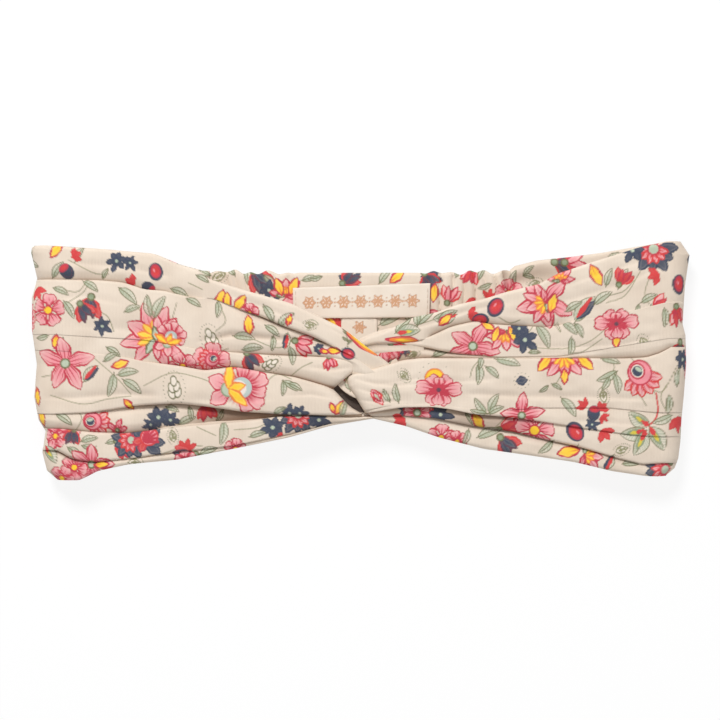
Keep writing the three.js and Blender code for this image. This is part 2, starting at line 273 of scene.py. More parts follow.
def pleat_rows(width, lower, upper, count):
    """Across one pleat: share of its width, drop and shade at each row, from its edges' fronts."""
    share = np.linspace(0, 1, count)[:, None]
    from_low = share * width
    from_high = (1 - share) * width
    drop = np.zeros_like(from_low)
    crown = np.zeros_like(from_low)
    dark = np.zeros_like(from_low)
    for distance, front in ((from_low, lower), (from_high, upper)):
        lip = EDGE_RADIUS * (0.35 + 0.65 * np.clip(front, 0, 1))
        lip = np.minimum(lip, width / 2.5)
        inside = np.clip(1 - distance / lip, 0, 1)
        crisp = np.clip(np.abs(front) / 0.4, 0, 1)
        drop += lip * (1 - np.sqrt(1 - inside**2)) * np.clip(0.25 + front, 0, 1) * crisp
        centre = np.clip(1 - 2 * distance / np.maximum(width, 0.1), 0, 1)
        crown += CROWN * np.minimum(1, width / WIDE_PLEAT) * centre**2 * (0.3 + 0.7 * crisp)
        sag = np.clip(-front, 0, 1)
        reach = np.minimum(SAG_REACH, width * 0.65)
        drop += SAG * sag * (1 - smooth(distance, 0, reach))
        # Painted shade: a dark line where this pleat dives under the one in front.
        open_distance = np.maximum(distance - TUCK * sag, 0)
        dark = np.maximum(dark, smooth(sag, 0.25, 0.7) * np.exp(-open_distance / TUCK_SHADE_WIDTH))
    return share, drop + crown, dark * smooth(width, 1.5, 5)


def crease(points, depth, width, out, y):
    """Depth of a soft crease along a line of (distance out, Y) points, steeper on its lower side."""
    distance = y - line(points, out)
    reach = np.where(distance < 0, width * 0.55, width)
    first, last = points[0][0], points[-1][0]
    fade = smooth(out, first - 3, first + 6) * smooth(out, last + 4, last - 8)
    return depth * np.exp(-((distance / reach) ** 2)) * fade


def half_front(half):
    """Grids over the front of a half: distance out, Y, Z, pleat number and shade."""
    side = half["side"]
    places = column_places(half)
    heights = np.array([soften(line(edge, at), 9) for edge, at in zip(half["edges"], places)])
    levels = [soften(line(level, places[k]), 25) for k, level in enumerate(half["levels"])]
    last = len(half["levels"]) - 1
    parts = []
    for k, count in enumerate(rows_for(half)):
        lower = line(half["front"][k - 1], places[k]) if k else np.ones(FRONT_COLUMNS)
        upper = -line(half["front"][k], places[k + 1]) if k < last else np.ones(FRONT_COLUMNS)
        low = heights[k] - (TUCK * np.clip(-lower, 0, 1) if k else 0)
        high = heights[k + 1] + (TUCK * np.clip(-upper, 0, 1) if k < last else 0)
        share, drop, dark = pleat_rows(np.maximum(high - low, 0.05), lower, upper, count)
        out = places[k] * (1 - share) + places[k + 1] * share
        y = low * (1 - share) + high * share
        z = levels[k] - drop
        if k in half["ends"]:
            shares, outs, lifts = np.array(half["ends"][k], float).T
            fade = (1 - smooth(np.arange(FRONT_COLUMNS), 0, ENDS_REACH))[None, :]
            out = out + np.interp(share, shares, outs) * fade
            y = y + np.interp(share, shares, lifts) * fade
        parts.append((out, y, z, np.full(out.shape, k), dark))
    out, y, z, zone, dark = (np.concatenate(part) for part in zip(*parts))
    calm = smooth(out, -6, 10)
    z = z + calm * 0.22 * ripple(out * 0.35, y, 5 + side, 16)
    z = z + calm * 0.1 * ripple(out * 0.5, y, 11 + side, 6)
    for points, depth, width in half["creases"]:
        groove = crease(points, depth, width, out, y)
        z = z - groove
        # Painted shade along the crease, darker where it is deeper.
        dark = np.maximum(dark, CREASE_SHADE * groove**2)
    # Painted shade laid over a stretch of one pleat, for each hollow in the table.
    fade_in, fade_out = HOLLOW_FADES
    for k, start, end, depth in half["hollow_shade"]:
        inside = (zone == k) * smooth(out, start, start + fade_in) * smooth(out, end, end - fade_out)
        dark = np.maximum(dark, depth * inside)
    return out, y, z, zone, dark


def knot_ends(half, z, zone):
    """Rolls the pleats' ends at the knot down, so that no cut end shows."""
    roll = np.clip(1 - np.arange(FRONT_COLUMNS)[None, :] / ROLL_REACH, 0, 1)
    depth = half["end_roll"]
    fall = np.array([depth.get(k, 0.6) for k in range(len(half["levels"]))])[zone]
    return z - fall * (1 - np.sqrt(1 - roll**2))


def half_skin(half):
    """Top skin of a half: the front, then round the end fold to where it meets the back."""
    out, y, z, zone, dark = half_front(half)
    z = knot_ends(half, z, zone)
    reach = line(half["reach"], y[:, -1])[:, None]
    radius = z[:, -1:] - MID_Z
    centre = reach - radius
    # The front runs on to the fold's own centre, row by row.
    blend = smooth(out, FOLD_BLEND, FAR)
    out = out * (1 - blend) + (out * (centre / out[:, -1:])) * blend
    angle = np.linspace(0, math.pi, FOLD_COLUMNS + 1)[None, 1:]
    flat = smooth(angle, 1.2, math.pi)
    curl = radius * (1 - flat) + (MID_Z - 0.05) * flat
    place = np.concatenate([out, centre + radius * angle], axis=1)
    out = np.concatenate([out, centre + curl * np.sin(angle)], axis=1)
    z = np.concatenate([z, MID_Z + curl * np.cos(angle)], axis=1)
    rest = ((0, 0), (0, FOLD_COLUMNS))
    y, zone, dark = (np.pad(grid, rest, "edge") for grid in (y, zone, dark))
    return out, y, z, zone, place, dark


def picked_rows(count, step):
    """Every step-th of the top's rows and the last one: the ones that the underside has too."""
    return np.unique(np.r_[0:count:step, count - 1])


def drawn_in(y, by):
    """The Y of an underside, with its two edges drawn in under the top's."""
    inner = y.copy()
    inner[0] += by
    inner[-1] -= by
    return inner


def half_lining(out, y, z, rows):
    """Underside of a half: follows the top near the knot and lies flat further out."""
    front_out, front_z = out[rows, :FRONT_COLUMNS], z[rows, :FRONT_COLUMNS]
    flat = smooth(front_out, KNOT_REACH - 8, KNOT_REACH + 22)
    front_z = np.minimum((front_z - SKIN_THICK) * (1 - flat) + SKIN_Z * flat, front_z - LEAST_THICK)
    angle = np.linspace(0, math.pi, FOLD_COLUMNS + 1)[None, 1:] + 0 * y[rows, :1]
    fold_out = front_out[:, -1:] + SKIN_RADIUS * np.sin(angle)
    fold_z = MID_Z + SKIN_RADIUS * np.cos(angle)
    under_out = np.concatenate([front_out, fold_out], axis=1)
    return under_out, drawn_in(y[rows], 0.35), np.concatenate([front_z, fold_z], axis=1)


def grid_quads(count, columns, first=0):
    """Faces between the points of a grid, numbered from first on."""
    r = np.arange(count - 1)[:, None] * columns
    c = np.arange(columns - 1)[None, :]
    corner = first + r + c
    quads = np.stack([corner, corner + 1, corner + columns + 1, corner + columns], axis=-1)
    return quads.reshape(-1, 4)


def tube_faces(count, columns, picks):
    """Faces of a closed flat tube: a top grid, and an under grid at the picked top rows."""
    first = count * columns
    last = first + (len(picks) - 1) * columns
    faces = grid_quads(count, columns).tolist()
    faces += grid_quads(len(picks), columns, first)[:, ::-1].tolist()
    for high, low in ((0, first), (first - columns, last)):
        for c in range(columns - 1):
            side = [high + c, low + c, low + c + 1, high + c + 1]
            faces.append(side if high == 0 else side[::-1])
    for c in (0, columns - 1):
        for j, (a, b) in enumerate(zip(picks, picks[1:])):
            upper = [int(r) * columns + c for r in range(a, b + 1)]
            cap = upper + [first + (j + 1) * columns + c, first + j * columns + c]
            faces.append(cap if c == 0 else cap[::-1])
    return faces


def link(name, data):
    """Puts data into the scene as an object."""
    obj = bpy.data.objects.new(name, data)
    bpy.context.scene.collection.objects.link(obj)
    return obj


def outward(mesh):
    """Turns the faces out where a mirrored grid left them facing in."""
    work = bmesh.new()
    work.from_mesh(mesh)
    if work.calc_volume(signed=True) < 0:
        bmesh.ops.reverse_faces(work, faces=work.faces)
    work.to_mesh(mesh)
    work.free()


def make_object(name, verts, faces, x, y):
    """Smooth closed piece that keeps each point's place on the flat cloth, in metres, as "cloth"."""
    mesh = bpy.data.meshes.new(name)
    mesh.from_pydata((verts * MM).tolist(), [], faces)
    outward(mesh)
    obj = link(name, mesh)
    for face in mesh.polygons:
        face.use_smooth = True
    flat = np.zeros((len(verts), 3), np.float32)
    flat[:, 0] = x * MM
    flat[:, 1] = y * MM
    mesh.attributes.new("cloth", "FLOAT_VECTOR", "POINT").data.foreach_set("vector", flat.ravel())
    return obj


def joined(top, under):
    """Values of a top grid and then of its under grid, in the order of the mesh points."""
    return np.concatenate([np.ravel(top), np.ravel(under)])


def cloth_piece(name, top, under, rows, zone=0, place=None, dark=None):
    """Flat tube of cloth, and each point's place on the flat cloth and zone.

    The place along the cloth is X unless it is given. The dark values, kept on the points, are
    painted shade: how much each point's colour is darkened, from 0 to 1.
    """
    place = top[..., 0] if place is None else place
    x = joined(place, place[rows])
    y = joined(top[..., 1], under[..., 1])
    verts = np.concatenate([top.reshape(-1, 3), under.reshape(-1, 3)])
    obj = make_object(name, verts, tube_faces(*top.shape[:2], rows), x, y)
    below = np.zeros(under.shape[:2])
    if dark is not None:
        layer = obj.data.attributes.new("painted_shade", "FLOAT", "POINT")
        layer.data.foreach_set("value", joined(dark, below).astype(np.float32))
    zones = joined(np.broadcast_to(zone, top.shape[:2]), below + UNDERSIDE)
    return obj, x, y, zones


def build_half(name, half):
    """Front and end fold of a half, over its lining."""
    out, y, z, zone, place, dark = half_skin(half)
    rows = picked_rows(len(y), 9)
    under_out, under_y, under_z = half_lining(out, y, z, rows)
    side = half["side"]
    top = np.stack([side * out, y, z], axis=-1)
    under = np.stack([side * under_out, under_y, under_z], axis=-1)
    return cloth_piece(name, top, under, rows, zone, side * place, dark)


def round_rim(z, base, rim, radius):
    """Lowers the height to base at the rim, in a quarter circle of the given radius."""
    return base + (z - base) * np.sqrt(1 - np.clip(1 - rim / radius, 0, 1) ** 2)


def flat_under(x, y, rows, height, rim_height):
    """Underside at the given height, drawn in and raised to rim_height at its two edges."""
    base = np.zeros(x[rows].shape) + height
    base[[0, -1]] = rim_height
    return np.stack([x[rows], drawn_in(y[rows], 0.3), base], axis=-1)


WING_Z = 2.15  # height of the back layer's face
WING_EDGE_Z = 1.1  # height of its rounded edges
WING_GATHERS = 7.2  # half waves across it at the casing
CASING_LOW, CASING_HIGH = 5.5, 31.0  # Y of the casing's edges
CASING_Z = 2.75  # height of the casing's face
CASING_EDGE_Z = 1.4
LABEL_HALF = (23.5, 26)  # distances out between which the label stops pressing the casing flat


def build_wing(name, half):
    """Back layer of a half, from the end fold in to the gathers at the casing."""
    side = half["side"]
    share = np.linspace(0, 1, 120)[:, None] ** 0.8
    run = np.linspace(0, 1, 150)[None, :]
    low_end, high_end = line(BACK_BOTTOM, FAR), line(half["back_top"], FAR)
    start = np.minimum(FAR, line(half["reach"], low_end + (high_end - low_end) * share) - 1.8)
    out = start + (SEAM_X - start) * run
    low, high = line(BACK_BOTTOM, out), line(half["back_top"], out)
    y = low + (high - low) * share
    gather = smooth(run, 0.25, 1)
    waves = np.sin(share * WING_GATHERS * math.pi + 1.3 * np.sin(run * 5 + side))
    z = WING_Z + gather * (0.75 + 0.8 * waves) + 0.25 * ripple(out, y, 21 + side, 18)
    z = round_rim(z, WING_EDGE_Z, np.minimum(share, 1 - share) * (high - low), 1.6)
    rows = picked_rows(len(share), 6)
    x = side * out
    under = flat_under(x, y, rows, 0.1 + 0.25 * gather, 0.8)
    return cloth_piece(name, np.stack([x, y, z], axis=-1), under, rows)


# Gathers of the casing, as (X, depth) from its left end to its right end.
GATHERS = [
    (-53, 1.5), (-49.5, 0.9), (-46, 1.3), (-42.5, 0.6), (-38.5, 0.8), (-33, 1.0), (-28.2, 0.7), (-23.8, 0.9),
    (-12, 0.12), (-3, 0.08), (8, 0.1), (17, 0.12), (25.6, 1.0), (29.3, 1.6), (33.5, 1.6), (37.2, 1.1),
    (40.8, 1.5), (45, 1.0), (49.2, 1.5), (52.6, 1.6),
]


def gather_height(x, y):
    """Height of the casing's gathered face: rounded ridges between sharp valleys."""
    lean = x + 0.9 * np.sin(y * 0.22 + x * 0.13) + 0.12 * (y - 18)
    xs, depths = np.array(GATHERS).T
    index = np.clip(np.searchsorted(xs, lean) - 1, 0, len(xs) - 2)
    share = np.clip((lean - xs[index]) / (xs[index + 1] - xs[index]), 0, 1)
    depth = depths[index] * (1 - share) + depths[index + 1] * share
    return depth * (np.sqrt(np.clip(np.sin(math.pi * share), 0, 1)) - 0.55)


def build_casing(name, side):
    """One half of the gathered casing, from under the label out to the seam."""
    share = np.linspace(0, 1, 84)[:, None]
    out = np.linspace(0, 1, 160)[None, :] * (SEAM_X + 1.2) + 0 * share
    x = side * out
    rim_wave = smooth(out, 20, 27) * 0.45 * np.sin(out * 1.02 + 0.6 * np.sin(out * 0.31))
    rim_wave = rim_wave + smooth(out, 20, 27) * 0.4 * np.sin(out * 0.47 + side)
    high = CASING_HIGH + rim_wave + 0.5 * smooth(out, 30, 52)
    low = CASING_LOW - 0.6 * rim_wave
    y = low + (high - low) * share
    relief = gather_height(x, y)
    z = CASING_Z + relief + 0.12 * ripple(x, y, 31, 9)
    z = np.minimum(z, CASING_Z + 0.1 + 2 * smooth(out, *LABEL_HALF))
    z = round_rim(z, CASING_EDGE_Z, np.minimum(share, 1 - share) * (high - low), 1.3)
    rows = picked_rows(len(share), 6)
    # Painted shade in the valleys of the gathers, from beside the label out to near the seam.
    dark = 0.75 * smooth(-relief, 0.38, 0.78) * smooth(out, 22, 27) * smooth(out, 54.5, 50)
    top = np.stack([x, y, z], axis=-1)
    return cloth_piece(name, top, flat_under(x, y, rows, 0.06, 0.9), rows, dark=dark)


# Hidden turns of the knot, where each half hooks round the other: (x, y, z, half width).
TURNS = {
    "left": [
        (9, -1.5, 12.2, 4.2), (11.5, -6, 11.6, 4), (10, -12, 10.8, 3.8), (3, -15, 9.2, 4.4),
        (-6, -14, 8.4, 5.4), (-15, -13.5, 10.4, 5), (-24, -14, 11.4, 6),
    ],
    "right": [
        (6, -10.5, 13.4, 4.4), (-0.6, -9.2, 12.2, 4.2), (-5, -6, 11.3, 3.8), (-6, -1, 11.2, 3.6),
        (0, 3.5, 11.2, 3.6), (9, 6.5, 11.3, 4.2), (22, 8, 11.4, 5),
    ],
}


def spline(points, count):
    """Points along a Catmull-Rom curve through the given ones."""
    pts = np.array(points, float)
    pts = np.concatenate([[2 * pts[0] - pts[1]], pts, [2 * pts[-1] - pts[-2]]])
    spans = len(pts) - 3
    t = np.linspace(0, spans, count)
    i = np.minimum(t.astype(int), spans - 1)
    f = (t - i)[:, None]
    a, b, c, d = (pts[i + k] for k in range(4))
    return 0.5 * (2 * b + (c - a) * f + (2 * a - 5 * b + 4 * c - d) * f**2 + (3 * b - a - 3 * c + d) * f**3)


def build_turn(name, points):
    """Cloth that runs along a path inside the knot."""
    path = spline(points, 110)
    centre, width = path[:, :3], path[:, 3]
    along = np.gradient(centre, axis=0)
    level = np.stack([-along[:, 1], along[:, 0], 0 * width], axis=-1)
    level /= np.linalg.norm(level, axis=1)[:, None]
    share = np.linspace(-1, 1, 26)[:, None]
    flat = centre[None] + level[None] * (share * width)[..., None]
    rise = 0.75 * np.sqrt(1 - share**2 * 0.96) + 0.12 * np.sin(share * 9 + path[:, 0] * 0.3)
    lift = np.stack([0 * rise, 0 * rise, rise], axis=-1)
    rows = picked_rows(len(share), 3)
    return cloth_piece(name, flat + lift, flat[rows] - 0.8 * lift[rows], rows, UNDERSIDE)


# ---------------------------------------------------------------- floral print
# The print is painted on the mesh points, in flat cloth coordinates. Each motif is drawn by a
# short function with a pen that stands at the motif's place. The pen's lengths are shares of the
# motif's size, and its directions are degrees from the motif's turn.


def ink(code):
    """Linear colour of a six-digit sRGB code."""
    parts = np.array([int(code[i:i + 2], 16) for i in (0, 2, 4)]) / 255
    return np.where(parts <= 0.04045, parts / 12.92, ((parts + 0.055) / 1.055) ** 2.4)


PINK = ink("f0909c")
ROSE = ink("c4173f")
RED = ink("d6242f")
YELLOW = ink("ffcf14")
LEMON = ink("ddc832")
ORANGE = ink("ef8030")
NAVY = ink("1a3352")
PLUM = ink("5b2a44")
SAGE = ink("bac8b0")
MIST = ink("b9c8c4")
MOSS = ink("8b9c7c")
OLIVE = ink("67683f")
STEM = ink("918f6a")
CREAM = ink("f0e4d6")
IVORY = ink("ece3da")
# painted shadow colour, for the cloth deep inside the knot
KNOT_SHADOW_BROWN = ink("3a2b26")
COPPER = ink("cf9468")
SOFT_EDGE = 0.12  # half the width over which an ink's edge fades
OUTLINE = 0.32  # half the width of an outline
LARGE = 5  # size above which a pod is drawn with bumps
BROAD = 2.4  # width above which a petal has a pale inner line


class Print:
    """Ink laid on one piece's points, on the zones that are open to it."""

    def __init__(self, x, y, zones):
        self.x, self.y, self.zones = x, y, zones
        self.colour = np.zeros((len(x), 3))
        self.cover = np.zeros(len(x))
        self.open = np.ones(len(x), bool)

    def show_on(self, zones):
        """Opens only these zones to the inks that follow."""
        self.open = np.isin(self.zones, list(zones))

    def near(self, x, y, reach):
        """Open points near a place, and where they lie from it."""
        found = np.nonzero(self.open & (np.abs(self.x - x) < reach) & (np.abs(self.y - y) < reach))[0]
        return found, self.x[found] - x, self.y[found] - y

    def lay(self, found, amount, colour):
        """Lays an ink over what is there."""
        amount = np.clip(amount, 0, 1)
        self.colour[found] = self.colour[found] * (1 - amount[:, None]) + colour * amount[:, None]
        self.cover[found] = self.cover[found] * (1 - amount) + amount

    def finish(self, obj):
        """Keeps the inks on the piece as "print", and how much they cover as "ink"."""
        rgba = np.ones((len(self.x), 4), np.float32)
        rgba[:, :3] = self.colour / np.maximum(self.cover, 1e-4)[:, None]
        layer = obj.data.attributes.new("print", "FLOAT_COLOR", "POINT")
        layer.data.foreach_set("color", rgba.ravel())
        cover = obj.data.attributes.new("ink", "FLOAT", "POINT")
        cover.data.foreach_set("value", self.cover.astype(np.float32))

    def dot(self, x, y, radius, fill, edge=None):
        """Round spot of the given radius."""
        found, dx, dy = self.near(x, y, radius + 1)
        inside = radius - np.hypot(dx, dy)
        self.lay(found, smooth(inside, -SOFT_EDGE, SOFT_EDGE), fill)
        if edge is not None:
            self.lay(found, smooth(np.abs(inside), OUTLINE + 0.06, OUTLINE - 0.14), edge)

    def stroke(self, points, colour=STEM, width=0.3):
        """A thin curved line through a few points."""
        curve = spline([(x, y, 0) for x, y in points], 6 * len(points))[:, :2]
        for (ax, ay), (bx, by) in zip(curve, curve[1:]):
            length = math.hypot(bx - ax, by - ay)
            found, dx, dy = self.near((ax + bx) / 2, (ay + by) / 2, length / 2 + 1)
            px, py = dx - (ax - bx) / 2, dy - (ay - by) / 2
            t = np.clip((px * (bx - ax) + py * (by - ay)) / max(length**2, 1e-6), 0, 1)
            gap = np.hypot(px - t * (bx - ax), py - t * (by - ay))
            self.lay(found, smooth(gap, width * 0.5 + 0.14, width * 0.5 - 0.14) * 0.85, colour)


def blade_depth(half, along, aside, length):
    """How far points lie inside a blade of the given half width and length, negative outside."""
    inside = half - np.abs(aside)
    beyond = np.maximum(-along, along - 1) * length
    return np.where(beyond > 0, np.minimum(inside, -beyond), inside)


class Pen:
    """One motif's place, size and turn on the cloth."""

    def __init__(self, cloth, x, y, size, turn):
        self.cloth, self.x, self.y, self.size, self.turn = cloth, x, y, size, turn

    def moved(self, reach, way=0.0):
        """The same pen further along a direction."""
        angle = math.radians(self.turn + way)
        x = self.x + self.size * reach * math.cos(angle)
        y = self.y + self.size * reach * math.sin(angle)
        return Pen(self.cloth, x, y, self.size, self.turn)

    def points(self, way, reach):
        """Points within reach, with their places along and across the direction."""
        found, dx, dy = self.cloth.near(self.x, self.y, reach + 1)
        angle = math.radians(self.turn + way)
        along = dx * math.cos(angle) + dy * math.sin(angle)
        return found, along, dy * math.cos(angle) - dx * math.sin(angle)

    def petal(self, way, reach, wide, fill, edge, tip=1.4, streaks=0.0, streak_ink=None, notch=0.0, bend=0.0):
        """A petal from its base.

        A tip above 1 puts its widest place further out. The streaks fade out at that share of
        its length, notch is the depth of the cut in its end, and bend curves it to the left.
        """
        length, width = self.size * reach, self.size * wide
        found, a, b = self.points(way, length)
        a = a / length
        b = b - bend * length * np.clip(a, 0, 1.1) ** 2
        a = a + notch * np.exp(-((b / (0.16 * width)) ** 2)) * smooth(a, 0.5, 0.9)
        scallop = 1 + 0.07 * np.sin(a * 15 + self.x * 3 + np.sign(b))
        half = width / 2 * np.sin(math.pi * np.clip(a, 0.0001, 0.9999) ** tip) ** 0.7 * scallop
        inside = blade_depth(half, a, b, length)
        light = fill is PINK
        pale = (smooth(a, 0.25, 0.95) * (0.3 if light else 0.05))[:, None]
        lay = self.cloth.lay
        lay(found, smooth(inside, -SOFT_EDGE, SOFT_EDGE), fill * (1 - pale) + CREAM * pale)
        if width > BROAD:
            lay(found, smooth(np.abs(inside - 0.62), 0.3, 0.1) * (0.3 if light else 0.08), CREAM)
        if streaks > 0:
            ray = np.abs(((b / np.maximum(half, 0.2)) * 1.6 + 0.5) % 1 - 0.5) * np.maximum(half, 0.2) / 1.6
            fade = smooth(a, streaks + 0.2 * np.cos(b * 5), streaks * 0.4)
            colour = edge if streak_ink is None else streak_ink
            lay(found, smooth(ray, 0.28, 0.1) * fade * (inside > 0), colour)
        thick = OUTLINE * (1 + 0.3 * np.sin(a * 8 + self.y * 2))
        lay(found, smooth(np.abs(inside), thick + 0.06, thick - 0.09), edge)

    def petals(self, ways, *shape, **look):
        """The same petal in several directions."""
        for way in ways:
            self.petal(way, *shape, **look)

    def leaf(self, way=0.0, reach=1.0, slim=0.37):
        """Sage leaf with a midrib and a shaded lower half."""
        length = self.size * reach
        found, a, b = self.points(way, length)
        a = a / length
        b = b - 0.07 * length * np.sin(math.pi * np.clip(a, 0, 1))
        half = length * slim / 2 * np.sin(math.pi * np.clip(a, 0.0001, 0.9999) ** 0.85) ** 0.7
        inside = blade_depth(half, a, b, length)
        body = smooth(inside, -SOFT_EDGE, SOFT_EDGE)
        pale = (smooth(a, 0.1, 0.9) * 0.7)[:, None]
        hatch = np.abs(((a * length - np.abs(b) * 0.8) / 1.1) % 1 - 0.5)
        lay = self.cloth.lay
        lay(found, body * 0.64, SAGE * (1 - pale) + CREAM * pale)
        lay(found, body * smooth(b, 0.1, -0.25) * 0.38, MOSS)
        lay(found, smooth(hatch, 0.24, 0.08) * (inside > 0) * 0.5, MOSS)
        lay(found, smooth(np.abs(b), 0.26, 0.08) * (a > -0.1) * (a < 0.9) * 0.9, OLIVE)
        lay(found, smooth(np.abs(inside), 0.29, 0.06) * 0.9, OLIVE)

    def oval(self, long, wide, fill, edge=None, way=0.0, thick=OUTLINE):
        """Oval round the pen's place, with its long axis along the direction."""
        length, width = self.size * long, self.size * wide
        found, a, b = self.points(way, max(length, width) / 2)
        inside = (1 - np.hypot(a / (length / 2), b / (width / 2))) * min(length, width) / 2
        self.cloth.lay(found, smooth(inside, -SOFT_EDGE, SOFT_EDGE), fill)
        if edge is not None:
            self.cloth.lay(found, smooth(np.abs(inside), thick + 0.08, thick - 0.14), edge)

    def dot(self, share, fill, edge=None):
        """Round spot whose radius is a share of the size."""
        self.cloth.dot(self.x, self.y, self.size * share, fill, edge)

    def fringe(self, inner, outer, colour, rays):
        """Fine rays round a flower's heart."""
        inner, outer = self.size * inner, self.size * outer
        found, dx, dy = self.cloth.near(self.x, self.y, outer + 0.5)
        reach = np.hypot(dx, dy)
        swing = np.abs((np.arctan2(dy, dx) / math.tau * rays) % 1 - 0.5)
        inside = smooth(reach, outer, inner) * (reach > inner * 0.8)
        self.cloth.lay(found, inside * smooth(swing, 0.42, 0.2), colour)

    def halo(self, ways, long, wide, radius):
        """Oval ring of specks in the given directions."""
        for way in ways:
            angle = math.radians(way)
            place = self.moved(long * math.cos(angle)).moved(wide * math.sin(angle), 90)
            self.cloth.dot(place.x, place.y, radius, STEM)


def blossom(pen, petals=5, heart=YELLOW):
    """Open pink flower seen from above."""
    for k in range(petals):
        way = 360 / petals * k
        pen.moved(0.16, way).petal(way, 0.88, 0.82, PINK, ROSE, tip=1.6, streaks=0.75, notch=0.14)
    pen.dot(0.25, heart, ROSE if heart is YELLOW else OLIVE)


def star(pen):
    """Open pink flower with pointed petals and a sage heart."""
    for k in range(5):
        odd = k % 2
        bend = 0.16 if odd else -0.12
        pen.petal(72 * k, 1 - 0.12 * odd, 0.46, PINK, ROSE, tip=1.05, streaks=0.8, bend=bend)
    pen.dot(0.15, SAGE, OLIVE)


def lotus(pen):
    """Large side-on flower: pink petals round a yellow fringe."""
    outer = ((-74, 0.95, 0.36), (72, 0.85, 0.34), (-38, 1.05, 0.38), (36, 1, 0.38), (0, 0.9, 0.42))
    for way, reach, wide in outer:
        pen.petal(way, reach, wide, PINK, ROSE, tip=1.15, streaks=0.7, bend=way / 600)
    pen.petals((-52, -20, 14, 48), 0.52, 0.2, YELLOW, ORANGE, tip=1.3)
    pen.petal(90, 0.5, 0.2, SAGE, OLIVE, tip=1)
    pen.petal(-96, 0.62, 0.26, PINK, ROSE, tip=1, streaks=0.7)


def aster(pen):
    """Large side-on flower: fringed pink rays round a pale disc, and a yellow star."""
    for k in range(6):
        reach = 0.98 if k % 2 else 0.88
        pen.petal(32 * k - 80, reach, 0.47, PINK, ROSE, tip=2.1, streaks=0.6, notch=0.1)
    pen.fringe(0.34, 0.72, ROSE, 26)
    pen.dot(0.38, ROSE)
    pen.dot(0.35, MIST)
    pen.moved(-0.1).dot(0.27, IVORY)
    pen.moved(-0.3).petals((148, 208), 0.85, 0.5, PINK, ROSE, streaks=0.6)
    heart = pen.moved(-0.42)
    heart.dot(0.24, SAGE, MOSS)
    for way, reach in ((82, 0.86), (8, 0.55), (-48, 0.8)):
        heart.petal(way, reach, 0.3, YELLOW, ORANGE, tip=0.95)


def daisy(pen):
    """Ragged navy flower with a pink heart."""
    for k in range(7):
        pen.petal(32 * k - 96, 0.86 if k % 2 else 1, 0.4, NAVY, NAVY, tip=1.25)
    pen.petals(range(-80, 81, 32), 0.6, 0.24, PINK, RED, tip=1.1, streaks=0.8)
    pen.fringe(0.2, 0.42, RED, 18)
    pen.dot(0.22, SAGE, ROSE)


def navy_bloom(pen):
    """Small jagged navy flower."""
    for way, reach in ((0, 1), (58, 0.8), (-55, 0.85), (118, 0.7), (180, 0.6), (-120, 0.62)):
        pen.petal(way, reach, 0.36, NAVY, NAVY, tip=1.2)
    pen.moved(0.1).dot(0.12, SAGE)


def tulip(pen, body=NAVY, flame=RED):
    """Side-on flower with two coats of petals."""
    pen.petals((-34, 34), 0.95, 0.4, flame, RED, tip=1.1)
    for way, reach, wide in ((-16, 1, 0.34), (16, 0.85, 0.32)):
        pen.petal(way, reach, wide, body, PLUM if body is NAVY else ROSE, tip=0.9)
    pen.moved(-0.06).dot(0.15, MOSS, OLIVE)


def peony(pen):
    """Wide open flower: two long side petals, short ones above and below, a ragged heart."""
    outer = ((52, 0.8, 0.6), (128, 0.8, 0.6), (90, 0.6, 0.5), (6, 1.1, 0.62), (174, 1.1, 0.62))
    for way, reach, wide in outer:
        pen.petal(way, reach, wide, PINK, ROSE, tip=1.9, streaks=0.8, notch=0.13)
    for way, reach in ((236, 0.82), (304, 0.82), (270, 0.72)):
        pen.petal(way, reach, 0.55, PINK, ROSE, tip=1.8, streaks=0.75, notch=0.13)
    pen.petals((0, 34, 90, 146, 180, 215, 325), 0.42, 0.1, ROSE, ROSE, tip=0.9)
    pen.dot(0.1, PLUM)


def shell(pen):
    """Striped pink fan in a ragged navy cup with a red foot."""
    pen.moved(-0.1).petals((-78, -44, 0, 44, 78), 0.98, 0.5, NAVY, NAVY, tip=1.2)
    pen.petals((150, 205), 0.6, 0.36, RED, ROSE)
    pen.moved(0.24).oval(0.86, 0.78, PINK, RED)
    pen.moved(-0.12).petals(range(-40, 41, 16), 0.7, 0.085, ROSE, ROSE, tip=0.9)


def bell(pen):
    """Pink bud with a navy and sage eye and a wide frilled skirt."""
    skirt = (114, 140, 166, 194, 220, 246)
    pen.moved(0.06).petals(skirt, 0.72, 0.32, PINK, RED, tip=1.3, streaks=0.95, streak_ink=ROSE)
    pen.moved(0.16).oval(0.82, 0.78, PINK, ROSE)
    eye = pen.moved(0.24, 14)
    eye.oval(0.5, 0.46, CREAM, ROSE)
    eye.oval(0.36, 0.34, NAVY)
    eye.moved(0.07, -50).oval(0.26, 0.13, SAGE, way=40)


def sun(pen):
    """Yellow disc in half a ring of specks."""
    pen.dot(0.5, YELLOW, ORANGE)
    pen.halo([22.5 * k - 90 for k in range(9)], 0.85, 0.85, 0.13)


def rose_leaf(pen):
    """Small bud: red outline round pink and sage."""
    pen.petal(0, 1, 0.46, PINK, RED, tip=0.9)
    pen.moved(0.2).petal(0, 0.6, 0.2, SAGE, ROSE, tip=0.9)


def flame_bud(pen):
    """Yellow bud with orange streaks."""
    pen.petal(0, 1, 0.46, YELLOW, ROSE, tip=1, streaks=0.45, streak_ink=ORANGE)


def shadow_patch(pen):
    """Painted shadow: a dark brown patch on the cloth deep inside the knot, where it lies in shade."""
    pen.oval(1, 0.6, KNOT_SHADOW_BROWN)


def berry(pen, core=RED):
    """Round bud in a navy cup."""
    pen.oval(1, 0.8, PLUM, NAVY)
    pen.moved(0.05).oval(0.74, 0.54, core, ROSE if core is RED else NAVY)
    if core is RED:
        pen.moved(0.14, 40).oval(0.22, 0.1, PINK)
    else:
        pen.moved(0.3).oval(0.36, 0.56, RED, ROSE)


def trefoil(pen):
    """Three red petals."""
    pen.petals((-48, 0, 48), 1, 0.42, RED, RED, tip=1.1)


